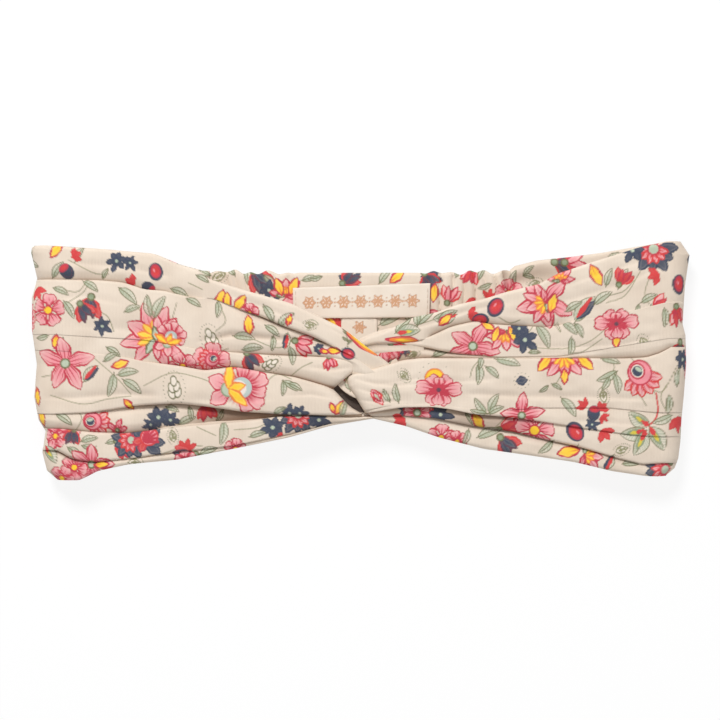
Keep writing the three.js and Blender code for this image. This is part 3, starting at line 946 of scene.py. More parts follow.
def pod(pen):
    """Outline of a seed pod, bumpy when large, in a ring of specks."""
    base = pen.moved(-0.5)
    if pen.size > LARGE:
        for along, side in ((0.24, 0.15), (0.28, -0.15), (0.52, 0.12), (0.56, -0.11), (0.82, 0)):
            base.moved(along).moved(side, 90).oval(0.46, 0.28, CREAM, OLIVE, 130 * side, 0.19)
    else:
        base.petal(0, 1, 0.56, CREAM, STEM, tip=0.9)
        base.moved(0.3).petal(0, 0.5, 0.12, CREAM, STEM, tip=0.9)
    pen.halo(np.linspace(210, 510, 22), 0.78, 0.5, 0.17)


def lily(pen):
    """Long slender bud, pink round yellow."""
    pen.petal(0, 1, 0.2, PINK, ROSE, tip=1.2)
    pen.moved(0.16).petal(-1, 0.8, 0.12, YELLOW, ORANGE, tip=1.1)


def leaf(pen):
    """Single leaf."""
    pen.leaf()


def twin(pen):
    """Pair of leaves."""
    pen.leaf(24)
    pen.leaf(-34, 0.85)


def sprig(pen):
    """Curved stem with leaves on both sides."""
    bend = pen.moved(0.5)
    end = bend.moved(0.5, 22)
    pen.cloth.stroke([(part.x, part.y) for part in (pen, bend, end)])
    bend.leaf(62, 0.48)
    pen.moved(0.26).leaf(-52, 0.5)
    end.leaf(20, 0.5)


def flower_leaf(pen):
    """Sage leaf with a yellow and red heart."""
    pen.leaf(slim=0.55)
    pen.moved(0.12).petal(0, 0.6, 0.2, LEMON, MOSS, tip=0.9)
    pen.petal(0, 0.34, 0.13, RED, RED, tip=0.9)


def blue_leaf(pen):
    """Sage leaf with a navy half and a red edge."""
    pen.leaf(slim=0.44)
    pen.moved(0.1).petal(-6, 0.8, 0.24, NAVY, NAVY, tip=0.9)
    pen.moved(0.14, 18).petal(2, 0.76, 0.1, RED, RED, tip=0.9)


def burr(pen):
    """Small navy oval in a ring of specks."""
    pen.moved(-0.5).petal(0, 1, 0.72, NAVY, NAVY, tip=1)
    pen.halo([30 * k - pen.turn for k in range(12)], 0.72, 0.72, 0.16)


def rosette(pen):
    """Woven ornament of six small petals."""
    for way in range(0, 360, 60):
        pen.moved(0.18, way).petal(way, 0.86, 0.46, CREAM, COPPER, tip=1.1)


# Where each motif lies, grouped by the pleats it may show on, in painting order:
# (motif, x, y, size, turn in degrees), then any inks of its own. BACK_PRINT lies on the back
# layers and the casing, whose upper faces are zone 0.
LEFT_PRINT = [
    ((6,), [
        (flame_bud, -104.4, 41.2, 8, 235), (leaf, -99.5, 34.6, 7, 60), (trefoil, -100.5, 36, 4, 30),
        (leaf, -107.5, 29, 8, 55), (berry, -102.6, 31, 6.6, 130, NAVY), (leaf, -90, 28.5, 5, 60),
        (navy_bloom, -85, 35, 5.5, 250), (navy_bloom, -80.5, 34.2, 4, 300), (berry, -71.4, 30.8, 7, 100),
        (trefoil, -79, 26.6, 4.4, 150), (berry, -74, 25.2, 5.6, -35, NAVY), (leaf, -66, 24.9, 8, -25),
        (flame_bud, -50, 18, 8.5, 70), (flame_bud, -46.4, 17.6, 7.5, 90), (flame_bud, -44, 17, 8.5, 55),
        (blossom, -38.6, 16.4, 4.4, 20), (leaf, -33.5, 19, 8.5, -62), (leaf, -28.5, 11.8, 8.8, 40),
        (flame_bud, -25.4, 12, 5, 70), (pod, -17.4, 12.2, 4.4, 5), (lily, -6.4, 11.6, 20, -38),
    ]),
    ((5, 6), [(flame_bud, -11.6, 3.4, 6, -4), (berry, -4.2, 2.2, 5.6, -24)]),
    ((6,), [(sprig, -4.4, 4.4, 6, 85), (leaf, -57, 29.5, 6, -30)]),
    ((5,), [
        (blossom, -109, 17.4, 7.4, 84), (leaf, -107, 25.2, 7, -25), (leaf, -96.5, 27.4, 7.5, -35),
        (leaf, -103.4, 20.5, 8.5, -60), (tulip, -94, 21.6, 10, -100), (navy_bloom, -90.4, 12, 5, -30),
        (tulip, -97.6, 19.4, 8, -60),
    ]),
    ((4, 5), [
        (leaf, -109, 8.5, 6, 190), (flame_bud, -106, 9, 6, -100), (leaf, -105.2, 3.8, 5.5, 70),
        (lotus, -71.5, 7.6, 15.4, 150), (lotus, -71, 6.5, 13, 10), (aster, -66, 8, 7.6, 60),
    ]),
    ((5,), [
        (leaf, -84, 25, 10, -42), (leaf, -82, 16.8, 7, 20), (leaf, -72, 14.8, 10.5, 62),
        (leaf, -73, 15.2, 9.5, 100), (leaf, -60.5, 21.4, 7, -30), (pod, -52, 7.2, 9, 112),
        (flame_bud, -38.6, 8.8, 8.5, 95), (leaf, -49.7, 20.5, 7, -92), (leaf, -33, 12, 7.5, -38),
        (leaf, -18.5, 8.8, 7, -25), (leaf, -44, 8.4, 9, -8),
    ]),
    ((3, 4, 5), [(star, -103, -1.2, 13, 20)]),
    ((3, 4), [
        (flame_bud, -86.6, -2.4, 7.5, 18), (leaf, -84.5, -5.2, 9, 10), (leaf, -86, -5, 10, -105),
        (leaf, -82.5, -7, 9.5, -38), (blue_leaf, -96.4, -7.4, 9, 48), (leaf, -88.4, 4.4, 7, -35),
        (leaf, -89.4, -0.4, 7, 30),
    ]),
    ((4, 5), [(blossom, -52, -0.6, 8.6, 10), (bell, -52.5, 0, 7.4, 10)]),
    ((4,), [(blossom, -62, -2.4, 6.5, 40), (tulip, -39.4, 2.2, 8.4, -60)]),
    ((4, 5), [
        (leaf, -41, 3.6, 9, 6), (leaf, -30.4, 8.4, 6.5, -95), (blue_leaf, -25.4, 9.4, 7, -100),
        (leaf, -24.6, 4.6, 8, -80), (tulip, -22.4, 6.6, 8.4, -22, PINK, PINK),
        (navy_bloom, -14.6, 4, 3.2, -20), (flame_bud, -14, 3.4, 4, -14),
    ]),
    ((4,), [(pod, -31.4, -1.6, 7, 30), (tulip, -10.8, 0.8, 5.4, -80, PINK, PINK)]),
    ((3,), [
        (aster, -41.4, -9.7, 13.2, 6), (flame_bud, -44, -3, 8, 75), (twin, -26.8, -7.4, 7.4, -58),
        (leaf, -24.8, -8.2, 6.4, -28), (pod, -64.8, -9.8, 9.6, 96), (flame_bud, -8.6, -19, 6.6, 60),
        (flame_bud, -9, -18.4, 4.6, 110), (leaf, -6.4, -19.6, 7.6, 72), (navy_bloom, -25, -18.8, 5.5, 20),
        (navy_bloom, -21.4, -18.6, 4.4, 0), (leaf, -30, -18.9, 6, 30),
    ]),
    ((2,), [(leaf, -93, -17, 8, 5)]),
    ((2, 3), [(flame_bud, -82.4, -13.8, 5.6, -48)]),
    ((2,), [
        (leaf, -106, -19, 8, -35), (bell, -92.5, -22, 9.6, 150), (star, -85, -24.6, 5, 150),
        (navy_bloom, -71, -20.4, 6.6, 40), (navy_bloom, -66.8, -21, 5, -10),
        (navy_bloom, -73, -22.6, 4, 200), (leaf, -63.4, -22.6, 8, 25), (leaf, -60, -16.4, 6, -80),
        (tulip, -54, -15.4, 7.6, -84, RED, ROSE), (leaf, -68, -16.4, 6, -20), (leaf, -48, -17.4, 6, 240),
    ]),
    ((1,), [
        (blossom, -106.6, -26.6, 5.6, 30), (blossom, -101.5, -25.2, 4.6, 70),
        (tulip, -100, -24.6, 6.6, -105, NAVY, NAVY), (leaf, -97.4, -28.4, 7.4, 12),
        (leaf, -97, -30, 7, -20), (leaf, -102, -30.6, 8, -40), (leaf, -88.6, -29, 5.6, 8),
        (tulip, -84.8, -28.6, 8, -40, RED, RED), (daisy, -80, -28, 8.6, 200), (shell, -75, -28, 9, 40),
        (pod, -65.4, -26.6, 4.8, 100), (leaf, -47.6, -21.6, 10, -98), (trefoil, -60.6, -31.4, 4.6, 80),
        (daisy, -21.6, -19, 9.4, -92), (navy_bloom, -30, -23.4, 7, 200),
        (navy_bloom, -14.8, -20.8, 6.4, -20), (leaf, -38.4, -26.8, 7, 15),
    ]),
    ((0, 1), [(blossom, -43.6, -31.2, 5, 80)]),
    ((1,), [(trefoil, -29, -28, 3.6, 10)]),
    ((0, 1), [(tulip, -58, -33.2, 9.6, 190), (leaf, -56, -33, 8, 20), (star, -94, -36.6, 10, 8)]),
    ((0,), [
        (blossom, -100, -37.6, 6, 60), (flame_bud, -93, -36.8, 6.5, 5), (pod, -79, -35.8, 5, 0),
        (blossom, -104.6, -41.6, 6, 60),
    ]),
    ((0, 1), [(flower_leaf, -111, -30.4, 9, -50)]),
    ((0,), [(blossom, -61, -35.2, 5, 100)]),
    ((2, 3), [(flame_bud, -114.5, -9.5, 8, -80)]),
    ((1, 2), [(flame_bud, -113, -16, 9, -78)]),
    ((5, 6), [(trefoil, -114, 25, 5, -60)]),
]
# Stems: points of each line and the pleats it may show on, then any ink and width of its own.
LEFT_STEMS = [
    ([(-102.5, 19.8), (-97, 23.4), (-94.6, 27)], (5,)), ([(-102, 35), (-93, 30.4), (-88, 30)], (6,)),
    ([(-60, 0.8), (-52, 2.2), (-46, 4)], (4, 5)), ([(-64, 20), (-66.4, 10), (-64, 7)], (5,)),
    ([(-75.5, -9), (-66, -4.6), (-57, -6), (-50, -8.6)], (3,)), ([(-112, -6), (-104, -4.6)], (3, 4)),
    ([(-93, 0.8), (-84.6, -6.6), (-80, -12)], (3, 4)),
    ([(-108, -12.4), (-97, -15.4), (-88, -13.6), (-80, -12.6)], (2, 3)),
    ([(-102, -14.6), (-97.4, -20), (-99.6, -25)], (1, 2)), ([(-57, -23.4), (-50.4, -26.4)], (1,)),
    ([(-44, -24.4), (-36, -23.6), (-31, -21)], (1,)), ([(-24.6, -6), (-20.4, -2.6), (-16.6, -0.8)], (4,)),
    ([(-27, -5), (-40, -2), (-50, -6)], (3,)), ([(-37.6, 7.4), (-30, 4.4), (-25, 5)], (5, 4)),
    ([(-60, 27), (-55, 24.6)], (6,)), ([(-92, -30), (-96, -33), (-103, -34)], (1,)),
    ([(-71, -33.6), (-62, -30.4), (-55, -30)], (1,)), ([(-104, 24.6), (-98.4, 24), (-95, 28.6)], (5,)),
    ([(-86, 10), (-88, 15), (-92, 17.4)], (5,)), ([(-106, -16), (-100, -18.6), (-94.6, -17)], (2,)),
    ([(-69, 11), (-76, 16.4), (-81, 23)], (5,)), ([(-49, 19), (-47, 13.6), (-50.4, 10)], (5,)),
    ([(-33, -8), (-29, -5), (-24, -6.6)], (3,)),
]
RIGHT_PRINT = [
    ((6,), [
        (daisy, 102.6, 38.8, 11, -92), (navy_bloom, 95.6, 38.8, 6.6, -120), (berry, 112, 26.4, 8, 95),
        (trefoil, 104.4, 30, 5, 200), (flame_bud, 80.6, 33.2, 10, -62), (leaf, 86, 26, 8, 70),
        (leaf, 90.4, 25.2, 9, 65), (tulip, 90.6, 26.6, 7.6, 60, RED, RED),
    ]),
    ((5, 6), [
        (star, 64.8, 20, 12.6, 55), (lotus, 65, 20, 10, 200), (flame_bud, 66.4, 16.6, 8.6, 75),
        (blue_leaf, 75.4, 13.6, 13.5, 52),
    ]),
    ((6,), [(leaf, 72, 17, 8, 30)]),
    ((5, 6), [(flame_bud, 89.4, 9.8, 7, -88), (peony, 89.6, 12.6, 9.4, 4), (leaf, 82, 19.6, 9, 35)]),
    ((6,), [
        (leaf, 98.4, 20.2, 7.6, 25), (leaf, 101.8, 19, 9.6, -78), (tulip, 102.4, 17.8, 8.6, 22, RED, PINK),
    ]),
    ((5, 6), [(leaf, 106.4, 18, 8, -90), (tulip, 111, 18.4, 8.4, -75, RED, PINK)]),
    ((6,), [(leaf, 97.4, 19.4, 5, -110)]),
    ((5,), [(pod, 99.4, 5.8, 5.6, 120)]),
    ((6,), [
        (berry, 47.4, 18.4, 8, 60), (trefoil, 38, 16, 4, 0), (berry, 42.2, 14, 6.4, 180),
        (flower_leaf, 33.4, 15.8, 9.8, 190), (leaf, 27.6, 13.6, 9, 30), (leaf, 12.6, 9.6, 9, 44),
        (flower_leaf, 13.4, 9.4, 9.6, 8), (leaf, 20.4, 12.6, 9, 40), (leaf, 20, 12, 8, 84),
        (flame_bud, 27.6, 12.2, 7, 40), (lily, 9, 7.2, 14, -2), (lotus, 70, 27.6, 6.4, 90),
    ]),
    ((5,), [
        (star, 39.4, 4.8, 12, 66), (flame_bud, 42.4, 13.2, 6.6, -30), (lotus, 50.8, 9.8, 9, -86),
        (flame_bud, 52, 11.6, 7.6, -60), (flame_bud, 48.4, 11.6, 7, -110),
        (navy_bloom, 57.2, 7.4, 7.4, -40), (navy_bloom, 55.6, 10.6, 5, 90), (leaf, 62, 12, 11, -62),
        (leaf, 71, 13, 8, -40), (leaf, 75.2, 12.8, 7, -62), (leaf, 73.8, 7.8, 8, -94),
        (leaf, 59, 2.6, 5, 0),
    ]),
    ((4, 5), [(tulip, 14.6, 5.6, 6.4, -85, NAVY, NAVY)]),
    ((4,), [(pod, 18.6, 2, 4, 20), (leaf, 25.6, 1.4, 8, 20), (tulip, 8.4, 4.4, 8, -62, PINK, PINK)]),
    ((4, 5), [(tulip, 11, 5.4, 7, -50, PINK, PINK)]),
    ((3,), [(pod, 15.4, -5.4, 4.6, -50)]),
    ((2, 3), [
        (sun, 26, -6.4, 8.2, 90), (peony, 27.4, -10.4, 9.8, -4), (rose_leaf, 4, -10.4, 8, -52),
        (leaf, 13.4, -14.6, 8, 100), (leaf, 10.4, -14.4, 6, 118),
    ]),
    ((3,), [
        (leaf, 41.4, -1.4, 9, -92), (leaf, 44, -2.4, 7.4, -42), (leaf, 42.2, 1.4, 6, -100),
        (leaf, 47.6, 0.2, 10.6, -14), (burr, 56.4, -7.2, 4.8, 8), (lotus, 71.4, 1.6, 11, -88),
        (flame_bud, 66.6, 1.4, 8.6, -130), (flame_bud, 76, 1.6, 9, -42), (flame_bud, 71.4, -3, 6.6, -90),
        (leaf, 65.6, -9, 4.6, 215), (leaf, 67, -8.4, 5, -30), (leaf, 84.6, 0.4, 8, -14),
        (leaf, 89.6, -4, 9.6, 205), (leaf, 89, -5, 8.6, -80), (leaf, 87, -6, 6.6, -120),
        (pod, 85, -12.6, 5, 100), (bell, 98.2, -6, 13, 108),
    ]),
    ((2, 3), [
        (leaf, 44, -18.4, 8, 128), (leaf, 45, -18.2, 9, 62), (leaf, 44, -18.6, 7, 168),
        (leaf, 45, -18.6, 7, 24),
    ]),
    ((1, 2, 3), [(star, 56.4, -19.4, 10, 92)]),
    ((1, 2), [(tulip, 49, -24.4, 9, 10, RED, PINK)]),
    ((1,), [(blossom, 61, -24.6, 9, -60)]),
    ((2, 3), [
        (trefoil, 84, -17.4, 3.6, 50), (trefoil, 84.4, -19.6, 3, -40), (trefoil, 78.8, -16.4, 3.8, 140),
        (berry, 81.6, -18.6, 6, 80, NAVY), (leaf, 70.4, -13.4, 10, -52),
    ]),
    ((1, 2), [
        (berry, 75.2, -25, 8.4, -56), (navy_bloom, 80.8, -22.6, 3.6, 10), (trefoil, 84.6, -24.6, 5, -50),
        (flower_leaf, 101, -23, 10.6, 146), (flower_leaf, 99.6, -24.8, 10.8, 188),
        (flower_leaf, 99.8, -25, 11.4, 244), (flower_leaf, 101.4, -23.6, 11.6, 302),
    ]),
    ((1,), [(pod, 91.4, -31.4, 5, 20)]),
    ((2, 3), [(leaf, 108, -12.4, 8, -95)]),
    ((1, 2), [(leaf, 109, -19.4, 9, 200), (trefoil, 112, -20, 7, -85)]),
    ((4, 5, 6), [(tulip, 112.5, 5.8, 9, -95, NAVY, SAGE)]),
    ((3, 4), [(navy_bloom, 113.4, 0.6, 6, -60)]),
    ((3,), [(leaf, 111, -9, 8, 80)]),
    ((1,), [
        (daisy, 20.4, -16.4, 10.6, -90), (blossom, 20, -18.4, 6, 90, 6, SAGE),
        (navy_bloom, 27.6, -19, 6.6, -10), (leaf, 37, -18.4, 6, -60), (flame_bud, 39.6, -18.2, 8.8, -62),
    ]),
    ((0, 1), [(leaf, 41.4, -27, 10.4, 18), (trefoil, 15.4, -20.6, 5, 210), (tulip, 49.4, -27.4, 9.6, -48)]),
    ((0,), [(blossom, 28.4, -27.4, 6.4, -60), (blossom, 34, -28.6, 5, -40)]),
    ((0, 1), [(leaf, 67.4, -28.4, 8, 220), (flame_bud, 77, -31.4, 10, 190)]),
    ((0,), [(lotus, 78.6, -33, 9, -10)]),
    ((0, 1), [(blue_leaf, 88.6, -33.4, 7.4, -120)]),
    ((0,), [
        (leaf, 92, -36.4, 7, 0), (daisy, 107, -38.4, 10, 190), (tulip, 109, -35.8, 7, 120),
        (leaf, 38, -24.4, 7, 250),
    ]),
]
RIGHT_STEMS = [
    ([(103, 33.4), (99.6, 24), (101, 19.6)], (6,)), ([(98, 31), (92.6, 22.6), (86, 20)], (6,)),
    ([(87, 22.6), (92, 24), (96, 28)], (6,)), ([(66.4, 15), (70, 9.8), (69, 13)], (5, 6)),
    ([(58, 4.4), (72, 4), (80, 6.4), (86, 11)], (5,)), ([(42.6, 1), (39.4, -2.6), (38.4, -6)], (3,)),
    ([(48.4, 15), (52.4, 13), (56, 14)], (6,)), ([(45, -16), (45.6, -20)], (2, 3)),
    ([(97.6, -12), (100, -16)], (3, 2)), ([(103.6, -12.4), (101.6, -9.6)], (3,)),
    ([(70.4, -5), (68, -9)], (3,)), ([(111, -2), (106, -10.6), (103, -10.8)], (3,)),
    ([(52.6, -18), (46.6, -24), (41, -25.6)], (1,)), ([(88, 1), (88.6, -3.4), (84, -7)], (3,)),
    ([(76.4, -29.4), (75.4, -32)], (1, 0)), ([(19, 12), (25.4, 14), (30, 16)], (6,)),
    ([(103.4, -11.6), (104, -18.4), (101.4, -22.4), (95.4, -24)], (1, 2, 3), RED, 0.6),
    ([(84.6, 7.4), (78, 3), (74, 2.4)], (5,)), ([(61, 12.6), (58.4, 8), (60, 2.6)], (5,)),
    ([(93, 3.8), (96, -2), (94, -7)], (3,)), ([(107, -18), (105, -13), (107, -8.6)], (2, 3)),
]
BACK_PRINT = [
    ((0,), [
        (flame_bud, -12, 15.4, 8, -50), (trefoil, -8, 12.4, 4, 40), (leaf, 7.2, 12.6, 12, 26),
        (leaf, 8.6, 16.4, 9, -4), (leaf, -40.8, 33, 8, -80), (tulip, -37.6, 31.4, 10, -58),
        (leaf, -34, 30, 8, -50), (navy_bloom, -32.6, 25, 6, -40), (lotus, -26.4, 22.8, 8.4, 88),
        (flame_bud, -27.6, 23, 8, 110), (flame_bud, -25, 23, 8.4, 66), (leaf, -20.4, 28.2, 7, 10),
        (leaf, -13.6, 29.6, 6, 190), (navy_bloom, -4.4, 28, 6, 30), (tulip, -6, 27.4, 8, 35),
        (leaf, 7, 27.4, 8, 50), (flame_bud, 10.6, 27.4, 8, 40), (navy_bloom, 25, 29, 6.6, -70),
        (tulip, 23, 30.4, 8, -60, NAVY, NAVY), (flame_bud, 26.6, 27, 8, -96),
        (tulip, 31, 20.6, 8, 70, PINK, PINK), (leaf, 34, 29.4, 6, 60), (flame_bud, 38, 30, 7.4, 60),
        (tulip, 40, 32, 7, -110, RED, PINK), (leaf, 42, 28.6, 6, 60), (leaf, 46.4, 27, 6, 200),
        (trefoil, 45.8, 21.8, 4, 80), (trefoil, 37.6, 20, 4.6, -20), (leaf, 54, 25.4, 8, 80),
        (blossom, 53, 23.6, 6.6, 100), (twin, 58, 30, 6, 20), (tulip, 69.4, 34.6, 10, -15, NAVY, PLUM),
        (tulip, 73, 34.6, 9.6, 8, PINK, ROSE), (leaf, -44.4, 30, 6, 120), (pod, -50, 29.6, 6, 30),
        (leaf, -53, 30, 6, 150), (pod, 62, 27, 5, 20), (leaf, 88, 36, 7, 15),
    ]),
]
# The left turn carries a painted shadow where it lies deep in the knot.
TURN_PRINT = {
    "left": [((UNDERSIDE,), [(shadow_patch, -5, -12.6, 22, -50), (leaf, 8, -4, 8, 60)])],
    "right": [((UNDERSIDE,), [
        (flame_bud, -3, -8.6, 5, 130), (leaf, -3.4, -10.6, 7, 100), (leaf, 0, -12, 6, 20),
    ])],
}
# Motifs of the random fill, with the sizes of those that differ from FILL_SIZE.
FILL = [
    blossom, leaf, tulip, twin, flame_bud, pod, leaf, berry,
    sprig, star, navy_bloom, trefoil, bell, leaf, lotus, burr,
]
FILL_SIZES = {leaf: 8, twin: 7, pod: 8, trefoil: 4.6, flame_bud: 7, sprig: 12, berry: 7, burr: 5}
FILL_SIZE = 8.6
FILL_SPACING = 11.5  # distance between the motifs of a row
FILL_ROWS = 0.82 * FILL_SPACING  # distance between rows
FILL_CLEAR = 8  # least distance from a placed motif
FOLD_PRINT = 117.5  # how far out on the unrolled cloth the fill of the end folds begins
MOTIF_SCALE = 0.8  # size of a placed motif's drawing, as a share of its size in the table


def paint_fill(cloth, seed, taken, beyond):
    """Fills the cloth further out than beyond with motifs on a shaken grid."""
    rng = np.random.default_rng(seed)
    low_x, high_x = cloth.x.min(), cloth.x.max()
    for row, y in enumerate(np.arange(cloth.y.min(), cloth.y.max(), FILL_ROWS)):
        for x in np.arange(low_x + (row % 2) * FILL_SPACING / 2, high_x, FILL_SPACING):
            px, py = x + rng.uniform(-2.4, 2.4), y + rng.uniform(-2.2, 2.2)
            motif = FILL[rng.integers(len(FILL))]
            turn = rng.uniform(0, 360)
            size = FILL_SIZES.get(motif, FILL_SIZE) * rng.uniform(0.9, 1.15)
            crowded = any(math.hypot(px - tx, py - ty) < FILL_CLEAR for tx, ty in taken)
            if abs(px) >= beyond and not crowded:
                motif(Pen(cloth, px, py, size, turn))


def paint(made, groups, stems, fills, material):
    """Prints one piece with its fills, each (seed, zones, start), then its stems, then its motifs."""
    obj, x, y, zones = made
    cloth = Print(x, y, zones)
    taken = [motif[1:3] for _, motifs in groups for motif in motifs]
    for seed, filled, beyond in fills:
        cloth.show_on(filled)
        paint_fill(cloth, seed, taken, beyond)
    for points, pleats, *look in stems:
        cloth.show_on(pleats)
        cloth.stroke(points, *look)
    for pleats, motifs in groups:
        cloth.show_on(pleats)
        for motif, across, up, size, turn, *inks in motifs:
            motif(Pen(cloth, across, up, size * MOTIF_SCALE, turn), *inks)
    cloth.finish(obj)
    obj.data.materials.append(material)
    return obj


# ---------------------------------------------------------------- label, tag, elastic and thread


def build_ribbon(name, corners, base, thick, columns, across, sway):
    """Flat woven piece between four (x, y) corners, given from the lower left, anticlockwise."""
    u = np.linspace(0, 1, columns)[None, :]
    v = np.linspace(0, 1, across)[:, None]
    weights = [(1 - u) * (1 - v), u * (1 - v), u * v, (1 - u) * v]
    x, y = (sum(w * corner[i] for w, corner in zip(weights, corners)) for i in range(2))
    wave = sway * (np.sin(u * 5.3 + 0.6) + 0.5 * np.sin(u * 11 + v * 2.1))
    rim = np.minimum(np.minimum(u, 1 - u) * (columns - 1), np.minimum(v, 1 - v) * (across - 1))
    edge = 0.16 * (1 - smooth(rim, 0, 2))
    rows = picked_rows(across, 4)
    top = np.stack([x, y, base + thick + wave - edge], axis=-1)
    under = np.stack([x, y, base + wave], axis=-1)[rows]
    return cloth_piece(name, top, under, rows)


LABEL_Z, LABEL_THICK = 3.7, 0.42
TAG_Z, TAG_THICK = 3.1, 0.26
LABEL_CORNERS = [(-23.6, 14.7), (24.6, 15.1), (24.9, 27.2), (-23.8, 25.5)]
LABEL_ENDS = {
    "left": [(-22.9, 14.9, 4.2), (-22.7, 20, 4.22), (-22.8, 24.9, 4.2)],
    "right": [(23.7, 15.9, 4.2), (23.9, 21, 4.22), (24, 26.3, 4.2)],
}
TAG_CORNERS = [(-6.9, 2.6), (6.1, 2.4), (6.1, 15.6), (-6.6, 15.5)]
ROSETTES = 7
ROSETTE_STEP = 6.1


def paint_label(cloth):
    """Woven row of rosettes with three specks between each two."""
    for k in range(ROSETTES):
        x = -18 + ROSETTE_STEP * k
        y = 20.6 + 0.02 * x
        rosette(Pen(cloth, x, y, 2.1, 0))
        if k < ROSETTES - 1:
            for lift, radius in ((0, 0.34), (-1.3, 0.26), (1.3, 0.26)):
                cloth.dot(x + ROSETTE_STEP / 2, y + lift, radius, COPPER)


def paint_tag(cloth):
    """Small woven rosette."""
    rosette(Pen(cloth, -0.2, 11.6, 2, 0))


ELASTIC_LENGTH = 49.4
ELASTIC_WIDTH = 19.8
ELASTIC_CORDS = 11


def build_elastic(name, side):
    """One half of the ribbed elastic inside the casing."""
    u = np.linspace(0, 1, 120)[None, :]
    v = np.linspace(0, 1, 48)[:, None]
    x = side * ELASTIC_LENGTH * u + 0 * v
    y = 8.4 + ELASTIC_WIDTH * v + 0 * u
    cord = v * ELASTIC_CORDS
    z = 1.36 + 0.14 * np.cos(cord * math.tau) + 0.05 * np.sin(u * 90 + np.round(cord) * 1.6)
    rows = picked_rows(len(v), 3)
    under = np.stack([x[rows], y[rows], 1.9 - z[rows]], axis=-1)
    return cloth_piece(name, np.stack([x, y, z], axis=-1), under, rows)[0]


STITCH_RINGS = 7
STITCH_SIDES = 6


def stitch_points(path, travel, start, stitch, radius):
    """Rings of points round one stitch, a short arch, with each point's place along and round it."""
    share = np.linspace(0, 1, STITCH_RINGS)
    at = np.stack([np.interp(start + share * stitch, travel, axis) for axis in path.T], axis=1)
    at[:, 2] += radius * 1.5 * (np.sin(math.pi * share) - 0.6)
    ahead = np.gradient(at, axis=0)
    ahead /= np.linalg.norm(ahead, axis=1)[:, None]
    across = np.cross(ahead, (0, 0, 1))
    across /= np.linalg.norm(across, axis=1)[:, None]
    above = np.cross(across, ahead)
    thin = radius * (0.6 + 0.4 * np.sin(math.pi * share))
    way = math.tau * np.arange(STITCH_SIDES) / STITCH_SIDES
    spokes = across[:, None] * np.cos(way)[None, :, None] + above[:, None] * np.sin(way)[None, :, None]
    verts = at[:, None] + spokes * thin[:, None, None]
    along = np.repeat(start + share * stitch, STITCH_SIDES)
    return verts.reshape(-1, 3), along, np.tile(way * radius, STITCH_RINGS)


def build_stitches(name, points, stitch, gap, radius):
    """Row of thread stitches along a line, whose ends dive into the cloth."""
    path = spline(points, 40 * len(points))
    travel = np.r_[0, np.cumsum(np.linalg.norm(np.diff(path, axis=0), axis=1))]
    count = max(1, int(travel[-1] / (stitch + gap)))
    starts = np.arange(count) * (stitch + gap) + gap / 2
    made = [stitch_points(path, travel, start, stitch, radius) for start in starts]
    faces = []
    for first in range(0, count * STITCH_RINGS * STITCH_SIDES, STITCH_RINGS * STITCH_SIDES):
        for ring in range(first, first + (STITCH_RINGS - 1) * STITCH_SIDES, STITCH_SIDES):
            for i in range(STITCH_SIDES):
                a, b = ring + i, ring + (i + 1) % STITCH_SIDES
                faces.append([a, b, b + STITCH_SIDES, a + STITCH_SIDES])
        faces.append([first + i for i in range(STITCH_SIDES)][::-1])
        faces.append([first + (STITCH_RINGS - 1) * STITCH_SIDES + i for i in range(STITCH_SIDES)])
    verts, along, around = (np.concatenate(part) for part in zip(*made))
    return make_object(name, verts, faces, along, around)


def zigzag(a, b, turns, swing):
    """Points of a zigzag from a to b, swinging sideways in X."""
    share = np.linspace(0, 1, turns + 1)[:, None]
    points = np.array(a) * (1 - share) + np.array(b) * share
    points[:, 0] += np.where(np.arange(turns + 1) % 2, swing, -swing)
    return points


# ---------------------------------------------------------------- materials


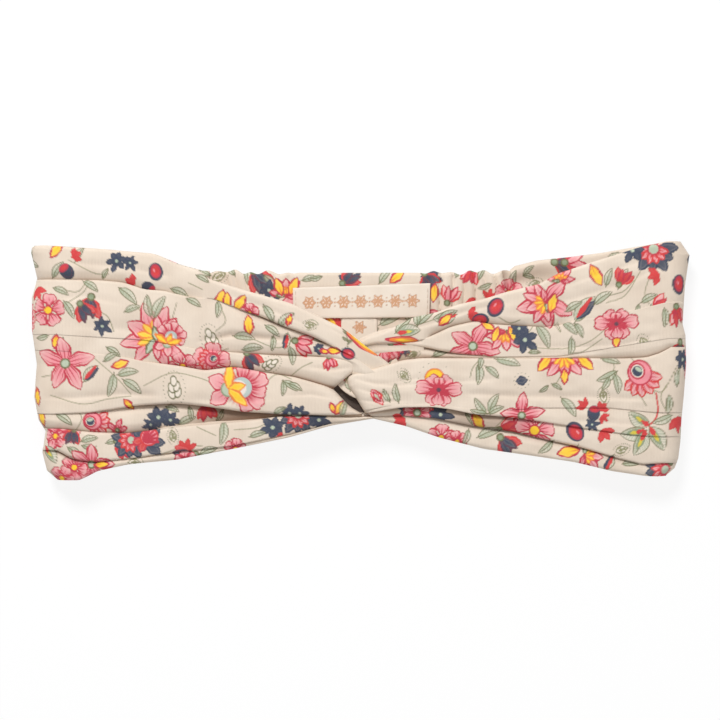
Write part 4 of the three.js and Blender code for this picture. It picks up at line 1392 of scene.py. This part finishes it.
class Graph:
    """A material's node tree, with short calls for the nodes used here."""

    def __init__(self, name):
        self.mat = bpy.data.materials.new(name)
        self.mat.use_nodes = True
        self.nodes = self.mat.node_tree.nodes
        self.links = self.mat.node_tree.links
        self.shader = self.nodes["Principled BSDF"]

    def put(self, socket, value):
        """Links another node's output to the socket, or sets a colour or a number on it."""
        if isinstance(value, bpy.types.NodeSocket):
            self.links.new(value, socket)
        elif isinstance(value, np.ndarray):
            socket.default_value = (*value, 1)
        else:
            socket.default_value = value

    def attribute(self, name, output):
        """A value kept on the mesh points."""
        node = self.nodes.new("ShaderNodeAttribute")
        node.attribute_name = name
        return node.outputs[output]

    def math(self, operation, a, b=0.0):
        """Result of a sum, a product or a sine."""
        node = self.nodes.new("ShaderNodeMath")
        node.operation = operation
        self.put(node.inputs[0], a)
        self.put(node.inputs[1], b)
        return node.outputs[0]

    def noise(self, vector, scale, detail=2.0, roughness=0.5):
        """Soft random value in cloth coordinates."""
        node = self.nodes.new("ShaderNodeTexNoise")
        self.put(node.inputs["Vector"], vector)
        self.put(node.inputs["Scale"], scale)
        self.put(node.inputs["Detail"], detail)
        self.put(node.inputs["Roughness"], roughness)
        return node.outputs["Fac"]

    def mix(self, factor, a, b, blend="MIX"):
        """Colour between two others."""
        node = self.nodes.new("ShaderNodeMix")
        node.data_type = "RGBA"
        node.blend_type = blend
        self.put(node.inputs[0], factor)
        self.put(node.inputs[6], a)
        self.put(node.inputs[7], b)
        return node.outputs[2]

    def span(self, value, low, high, to_low=0.0, to_high=1.0):
        """Moves values from one range to another."""
        node = self.nodes.new("ShaderNodeMapRange")
        for socket, number in zip(node.inputs, (value, low, high, to_low, to_high)):
            self.put(socket, number)
        return node.outputs[0]

    def split(self, vector):
        """The three numbers of a vector."""
        node = self.nodes.new("ShaderNodeSeparateXYZ")
        self.put(node.inputs[0], vector)
        return node.outputs

    def waves(self, along, pitch, jitter=0.0):
        """0 to 1 ridges of the given pitch along one coordinate."""
        turns = self.math("MULTIPLY", along, math.tau / pitch)
        if jitter:
            turns = self.math("ADD", turns, jitter)
        return self.span(self.math("SINE", turns), -1, 1)

    def bump(self, height, distance, strength):
        """Normal of a surface with the given relief."""
        node = self.nodes.new("ShaderNodeBump")
        self.put(node.inputs["Height"], height)
        self.put(node.inputs["Distance"], distance)
        self.put(node.inputs["Strength"], strength)
        return node.outputs["Normal"]

    def finish(self, colour, roughness, normal, sheen, specular):
        """Sets up the shader and gives the material."""
        self.put(self.shader.inputs["Base Color"], colour)
        self.put(self.shader.inputs["Roughness"], roughness)
        self.put(self.shader.inputs["Normal"], normal)
        self.shader.inputs["Sheen Weight"].default_value = sheen
        self.shader.inputs["Specular IOR Level"].default_value = specular
        return self.mat


def jersey_material():
    """Brushed rib jersey, off-white with the print on top."""
    g = Graph("printed_jersey")
    cloth = g.attribute("cloth", "Vector")
    along = g.split(cloth)[0]
    wander = g.math("MULTIPLY", g.noise(cloth, 260), 3.0)
    ribs = g.waves(along, 0.0005, wander)
    fuzz = g.noise(cloth, 3200, 2, 0.6)
    mottle = g.noise(cloth, 70, 3)
    ground = g.mix(g.span(mottle, 0.3, 0.7), ink("e1d0be"), ink("eadbca"))
    paint = g.attribute("print", "Color")
    cover = g.math("MULTIPLY", g.attribute("ink", "Fac"), g.span(fuzz, 0.3, 0.7, 0.88, 1))
    colour = g.mix(cover, ground, paint)
    shade = g.math("MULTIPLY", ribs, g.span(g.noise(cloth, 130), 0.35, 0.65, 0.03, 0.1))
    colour = g.mix(shade, colour, ink("8f7a68"), "MULTIPLY")
    colour = g.mix(g.span(fuzz, 0.35, 0.75, 0, 0.05), colour, ink("fbf3ea"))
    # Painted shade: darkens the colour brown where the points carry painted shade, in tucks, creases, hollows
    # and the casing's valleys.
    painted_shade = g.attribute("painted_shade", "Fac")
    colour = g.mix(g.math("MULTIPLY", painted_shade, 0.85), colour, ink("85644c"), "MULTIPLY")
    height = g.math("ADD", g.math("MULTIPLY", ribs, -0.6), g.math("MULTIPLY", fuzz, 0.8))
    rough = g.span(fuzz, 0.3, 0.7, 0.86, 0.97)
    return g.finish(colour, rough, g.bump(height, 0.00012, 0.55), 0.03, 0.1)


def woven_material():
    """Fine off-white ribbon with its woven ornament."""
    g = Graph("woven_ribbon")
    cloth = g.attribute("cloth", "Vector")
    x, y = g.split(cloth)[:2]
    warp = g.waves(x, 0.00034)
    weft = g.waves(y, 0.00028)
    weave = g.math("MULTIPLY", warp, weft)
    fuzz = g.noise(cloth, 2600)
    ground = g.mix(g.span(g.noise(cloth, 120), 0.3, 0.7), ink("e9dbcb"), ink("efe3d5"))
    cover = g.math("MULTIPLY", g.attribute("ink", "Fac"), g.span(fuzz, 0.3, 0.7, 0.75, 0.95))
    colour = g.mix(cover, ground, g.attribute("print", "Color"))
    colour = g.mix(g.math("MULTIPLY", weave, 0.14), colour, ink("b5a18c"), "MULTIPLY")
    height = g.math("ADD", weave, g.math("MULTIPLY", fuzz, 0.4))
    return g.finish(colour, g.span(fuzz, 0.3, 0.7, 0.62, 0.78), g.bump(height, 0.00006, 0.5), 0.02, 0.25)


def thread_material():
    """Two-ply cotton thread."""
    g = Graph("cotton_thread")
    cloth = g.attribute("cloth", "Vector")
    x, y = g.split(cloth)[:2]
    ply = g.waves(g.math("ADD", x, g.math("MULTIPLY", y, 1.2)), 0.00045)
    fuzz = g.noise(cloth, 4000)
    ground = g.mix(g.span(fuzz, 0.3, 0.7), ink("dccbb8"), ink("e9dccb"))
    colour = g.mix(g.math("MULTIPLY", ply, 0.25), ground, ink("a8937c"), "MULTIPLY")
    return g.finish(colour, g.span(fuzz, 0.3, 0.7, 0.55, 0.75), g.bump(ply, 0.00008, 0.6), 0.05, 0.3)


def elastic_material():
    """Braided elastic: white yarn over rubber cords."""
    g = Graph("braided_elastic")
    cloth = g.attribute("cloth", "Vector")
    x, y = g.split(cloth)[:2]
    cords = g.waves(y, 0.0018)
    braid = g.waves(g.math("ADD", x, y), 0.0007)
    fuzz = g.noise(cloth, 2400)
    ground = g.mix(g.span(fuzz, 0.3, 0.7), ink("e4ddd2"), ink("f1ece3"))
    colour = g.mix(g.math("MULTIPLY", cords, 0.35), ground, ink("b3a697"), "MULTIPLY")
    height = g.math("ADD", cords, g.math("MULTIPLY", braid, 0.5))
    return g.finish(colour, g.span(fuzz, 0.3, 0.7, 0.6, 0.8), g.bump(height, 0.0001, 0.6), 0.05, 0.3)


# ---------------------------------------------------------------- stage

FLOOR_REACH = 3.0
FLOOR_Z = -0.0004
FLOOR_GREY = (0.16, 0.16, 0.16, 1)
FLOOR_GLOW = 0.84
WHITE = (1, 1, 1, 1)
WORLD_STRENGTH = 0.42
WIDTH_SEEN = 0.252  # width of the floor that the camera sees at BAND_TOP
BAND_TOP = 0.012
# Lights: (name, place, diameter, power).
LIGHTS = [("key", (-0.25, 0.7, 0.85), 0.35, 9.6), ("fill", (0.6, -0.4, 0.9), 0.8, 1.6)]


def build_stage():
    """Grey paper floor that glows white, so that only a faint shadow shows."""
    floor = bpy.data.meshes.new("floor")
    square = ((-1, -1), (1, -1), (1, 1), (-1, 1))
    floor.from_pydata([(x * FLOOR_REACH, y * FLOOR_REACH, FLOOR_Z) for x, y in square], [], [(0, 1, 2, 3)])
    paper = bpy.data.materials.new("paper")
    paper.use_nodes = True
    sockets = paper.node_tree.nodes["Principled BSDF"].inputs
    sockets["Base Color"].default_value = FLOOR_GREY
    sockets["Emission Color"].default_value = WHITE
    sockets["Emission Strength"].default_value = FLOOR_GLOW
    sockets["Roughness"].default_value = 1
    sockets["Specular IOR Level"].default_value = 0
    floor.materials.append(paper)
    link("floor", floor)


def build_lights():
    """Pale surroundings, and round lights that face the middle of the band."""
    world = bpy.data.worlds.new("studio")
    world.use_nodes = True
    background = world.node_tree.nodes["Background"].inputs
    background["Color"].default_value = WHITE
    background["Strength"].default_value = WORLD_STRENGTH
    bpy.context.scene.world = world
    for name, place, size, power in LIGHTS:
        data = bpy.data.lights.new(name, "AREA")
        data.shape = "DISK"
        data.size = size
        data.energy = power
        obj = link(name, data)
        obj.location = place
        obj.rotation_euler = (-Vector(place)).to_track_quat("-Z", "Y").to_euler()


def build_camera():
    """Looks straight down on the band, with +Y upwards."""
    data = bpy.data.cameras.new("camera")
    data.lens = 100
    data.sensor_width = 36
    obj = link("camera", data)
    obj.location = (0, 0, data.lens / data.sensor_width * WIDTH_SEEN + BAND_TOP)
    bpy.context.scene.camera = obj
    bpy.context.scene.view_settings.view_transform = "Standard"


# ---------------------------------------------------------------- the object

SEAM_THREAD_X = 52.7
TACK_THREAD_X = 50.6


def follow_side(obj):
    """Bakes the piece's placement into its mesh, leaving it where it was built."""
    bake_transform(obj)


def build_side(word, half, motifs, stems, jersey, seed):
    """The jersey of one half of the band."""
    side = half["side"]
    front = [(seed, (UNDERSIDE,), 0), (seed + 50, range(len(half["levels"])), FOLD_PRINT)]
    tube = paint(build_half(f"{word}_tube", half), motifs, stems, front, jersey)
    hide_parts(f"{word}_outer_panel", f"{word}_lining_panel", f"{word}_knot_loop")
    everywhere = (0, UNDERSIDE)
    wing = paint(build_wing(f"{word}_back", half), BACK_PRINT, [], [(seed + 1, everywhere, 0)], jersey)
    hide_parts(f"{word}_outer_panel", f"{word}_lining_panel")
    made = build_casing(f"{word}_casing", side)
    casing = paint(made, BACK_PRINT, [], [(seed + 2, everywhere, 0)], jersey)
    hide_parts("elastic_casing")
    turn = paint(build_turn(f"{word}_turn", TURNS[word]), TURN_PRINT[word], [], [], jersey)
    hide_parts(f"{word}_knot_loop")
    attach(turn, "centre")
    for obj in (tube, wing, casing):
        follow_side(obj)
    return casing


def finish_thread(obj, node, thread):
    """Makes a row of stitches cotton and lets it stand for its node."""
    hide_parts(node)
    obj.data.materials.append(thread)


def build_threads(word, side, thread):
    """The seams and tacks of one half."""
    x_seam, x_tack = side * SEAM_THREAD_X, side * TACK_THREAD_X
    tube_seam = [(37, -6, 10.5), (48, -5.9, 10.12), (75, -5.95, 10.1), (104, -6, 10.1)]
    tube_seam = [(side * out, y, z) for out, y, z in tube_seam]
    gather_seam = [(x_seam, 6.6, 1.2), (x_seam, 14, 1.3), (x_seam, 22, 1.3), (x_seam, 30.1, 1.2)]
    tack = zigzag((x_tack, 9.4, 1), (x_tack, 27.3, 1), 26, 0.3)
    for name, node, points, stitch, gap, radius in (
        ("tube", "tube_seam", tube_seam, 2.2, 0.6, 0.16),
        ("gather", "gather_seam", gather_seam, 1.9, 0.5, 0.18),
        ("tack", "elastic_tack", tack, 1.1, 0.05, 0.14),
    ):
        obj = build_stitches(f"{word}_{name}_thread", points, stitch, gap, radius)
        finish_thread(obj, f"{word}_{node}", thread)
        follow_side(obj)


def weave(made, ornament, material):
    """Gives a woven ribbon its ornament."""
    obj, x, y, zones = made
    cloth = Print(x, y, zones)
    cloth.show_on((0,))
    ornament(cloth)
    cloth.finish(obj)
    obj.data.materials.append(material)
    return obj


def build_label(woven, thread):
    """Label laid on the casing and sewn on at its two ends."""
    ribbon = build_ribbon("label", LABEL_CORNERS, LABEL_Z, LABEL_THICK, columns=170, across=44, sway=0.07)
    label = weave(ribbon, paint_label, woven)
    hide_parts("woven_label")
    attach(label, "centre")
    for word, points in LABEL_ENDS.items():
        stitch = build_stitches(f"{word}_label_thread", points, stitch=1.5, gap=0.45, radius=0.13)
        finish_thread(stitch, f"{word}_label_stitch", thread)
        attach(stitch, "centre")
    return label


def build_tag(woven, label):
    """Small woven tag, laid flat with its top edge under the label."""
    ribbon = build_ribbon("tag", TAG_CORNERS, TAG_Z, TAG_THICK, columns=44, across=42, sway=0.03)
    tag = weave(ribbon, paint_tag, woven)
    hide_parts("size_tag")
    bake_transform(tag)


def build_band(word, side, elastic):
    """One half of the elastic, between the faces of the casing."""
    half = build_elastic(f"{word}_elastic", side)
    half.data.materials.append(elastic)
    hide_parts("elastic_band")
    follow_side(half)


def main():
    """Builds the stage and every piece."""
    build_camera()
    build_stage()
    build_lights()
    jersey, woven, thread = jersey_material(), woven_material(), thread_material()
    casings = [
        build_side("left", LEFT, LEFT_PRINT, LEFT_STEMS, jersey, 3),
        build_side("right", RIGHT, RIGHT_PRINT, RIGHT_STEMS, jersey, 13),
    ]
    build_threads("left", -1, thread)
    build_threads("right", 1, thread)
    build_tag(woven, build_label(woven, thread))
    elastic = elastic_material()
    build_band("left", -1, elastic)
    build_band("right", 1, elastic)


main()
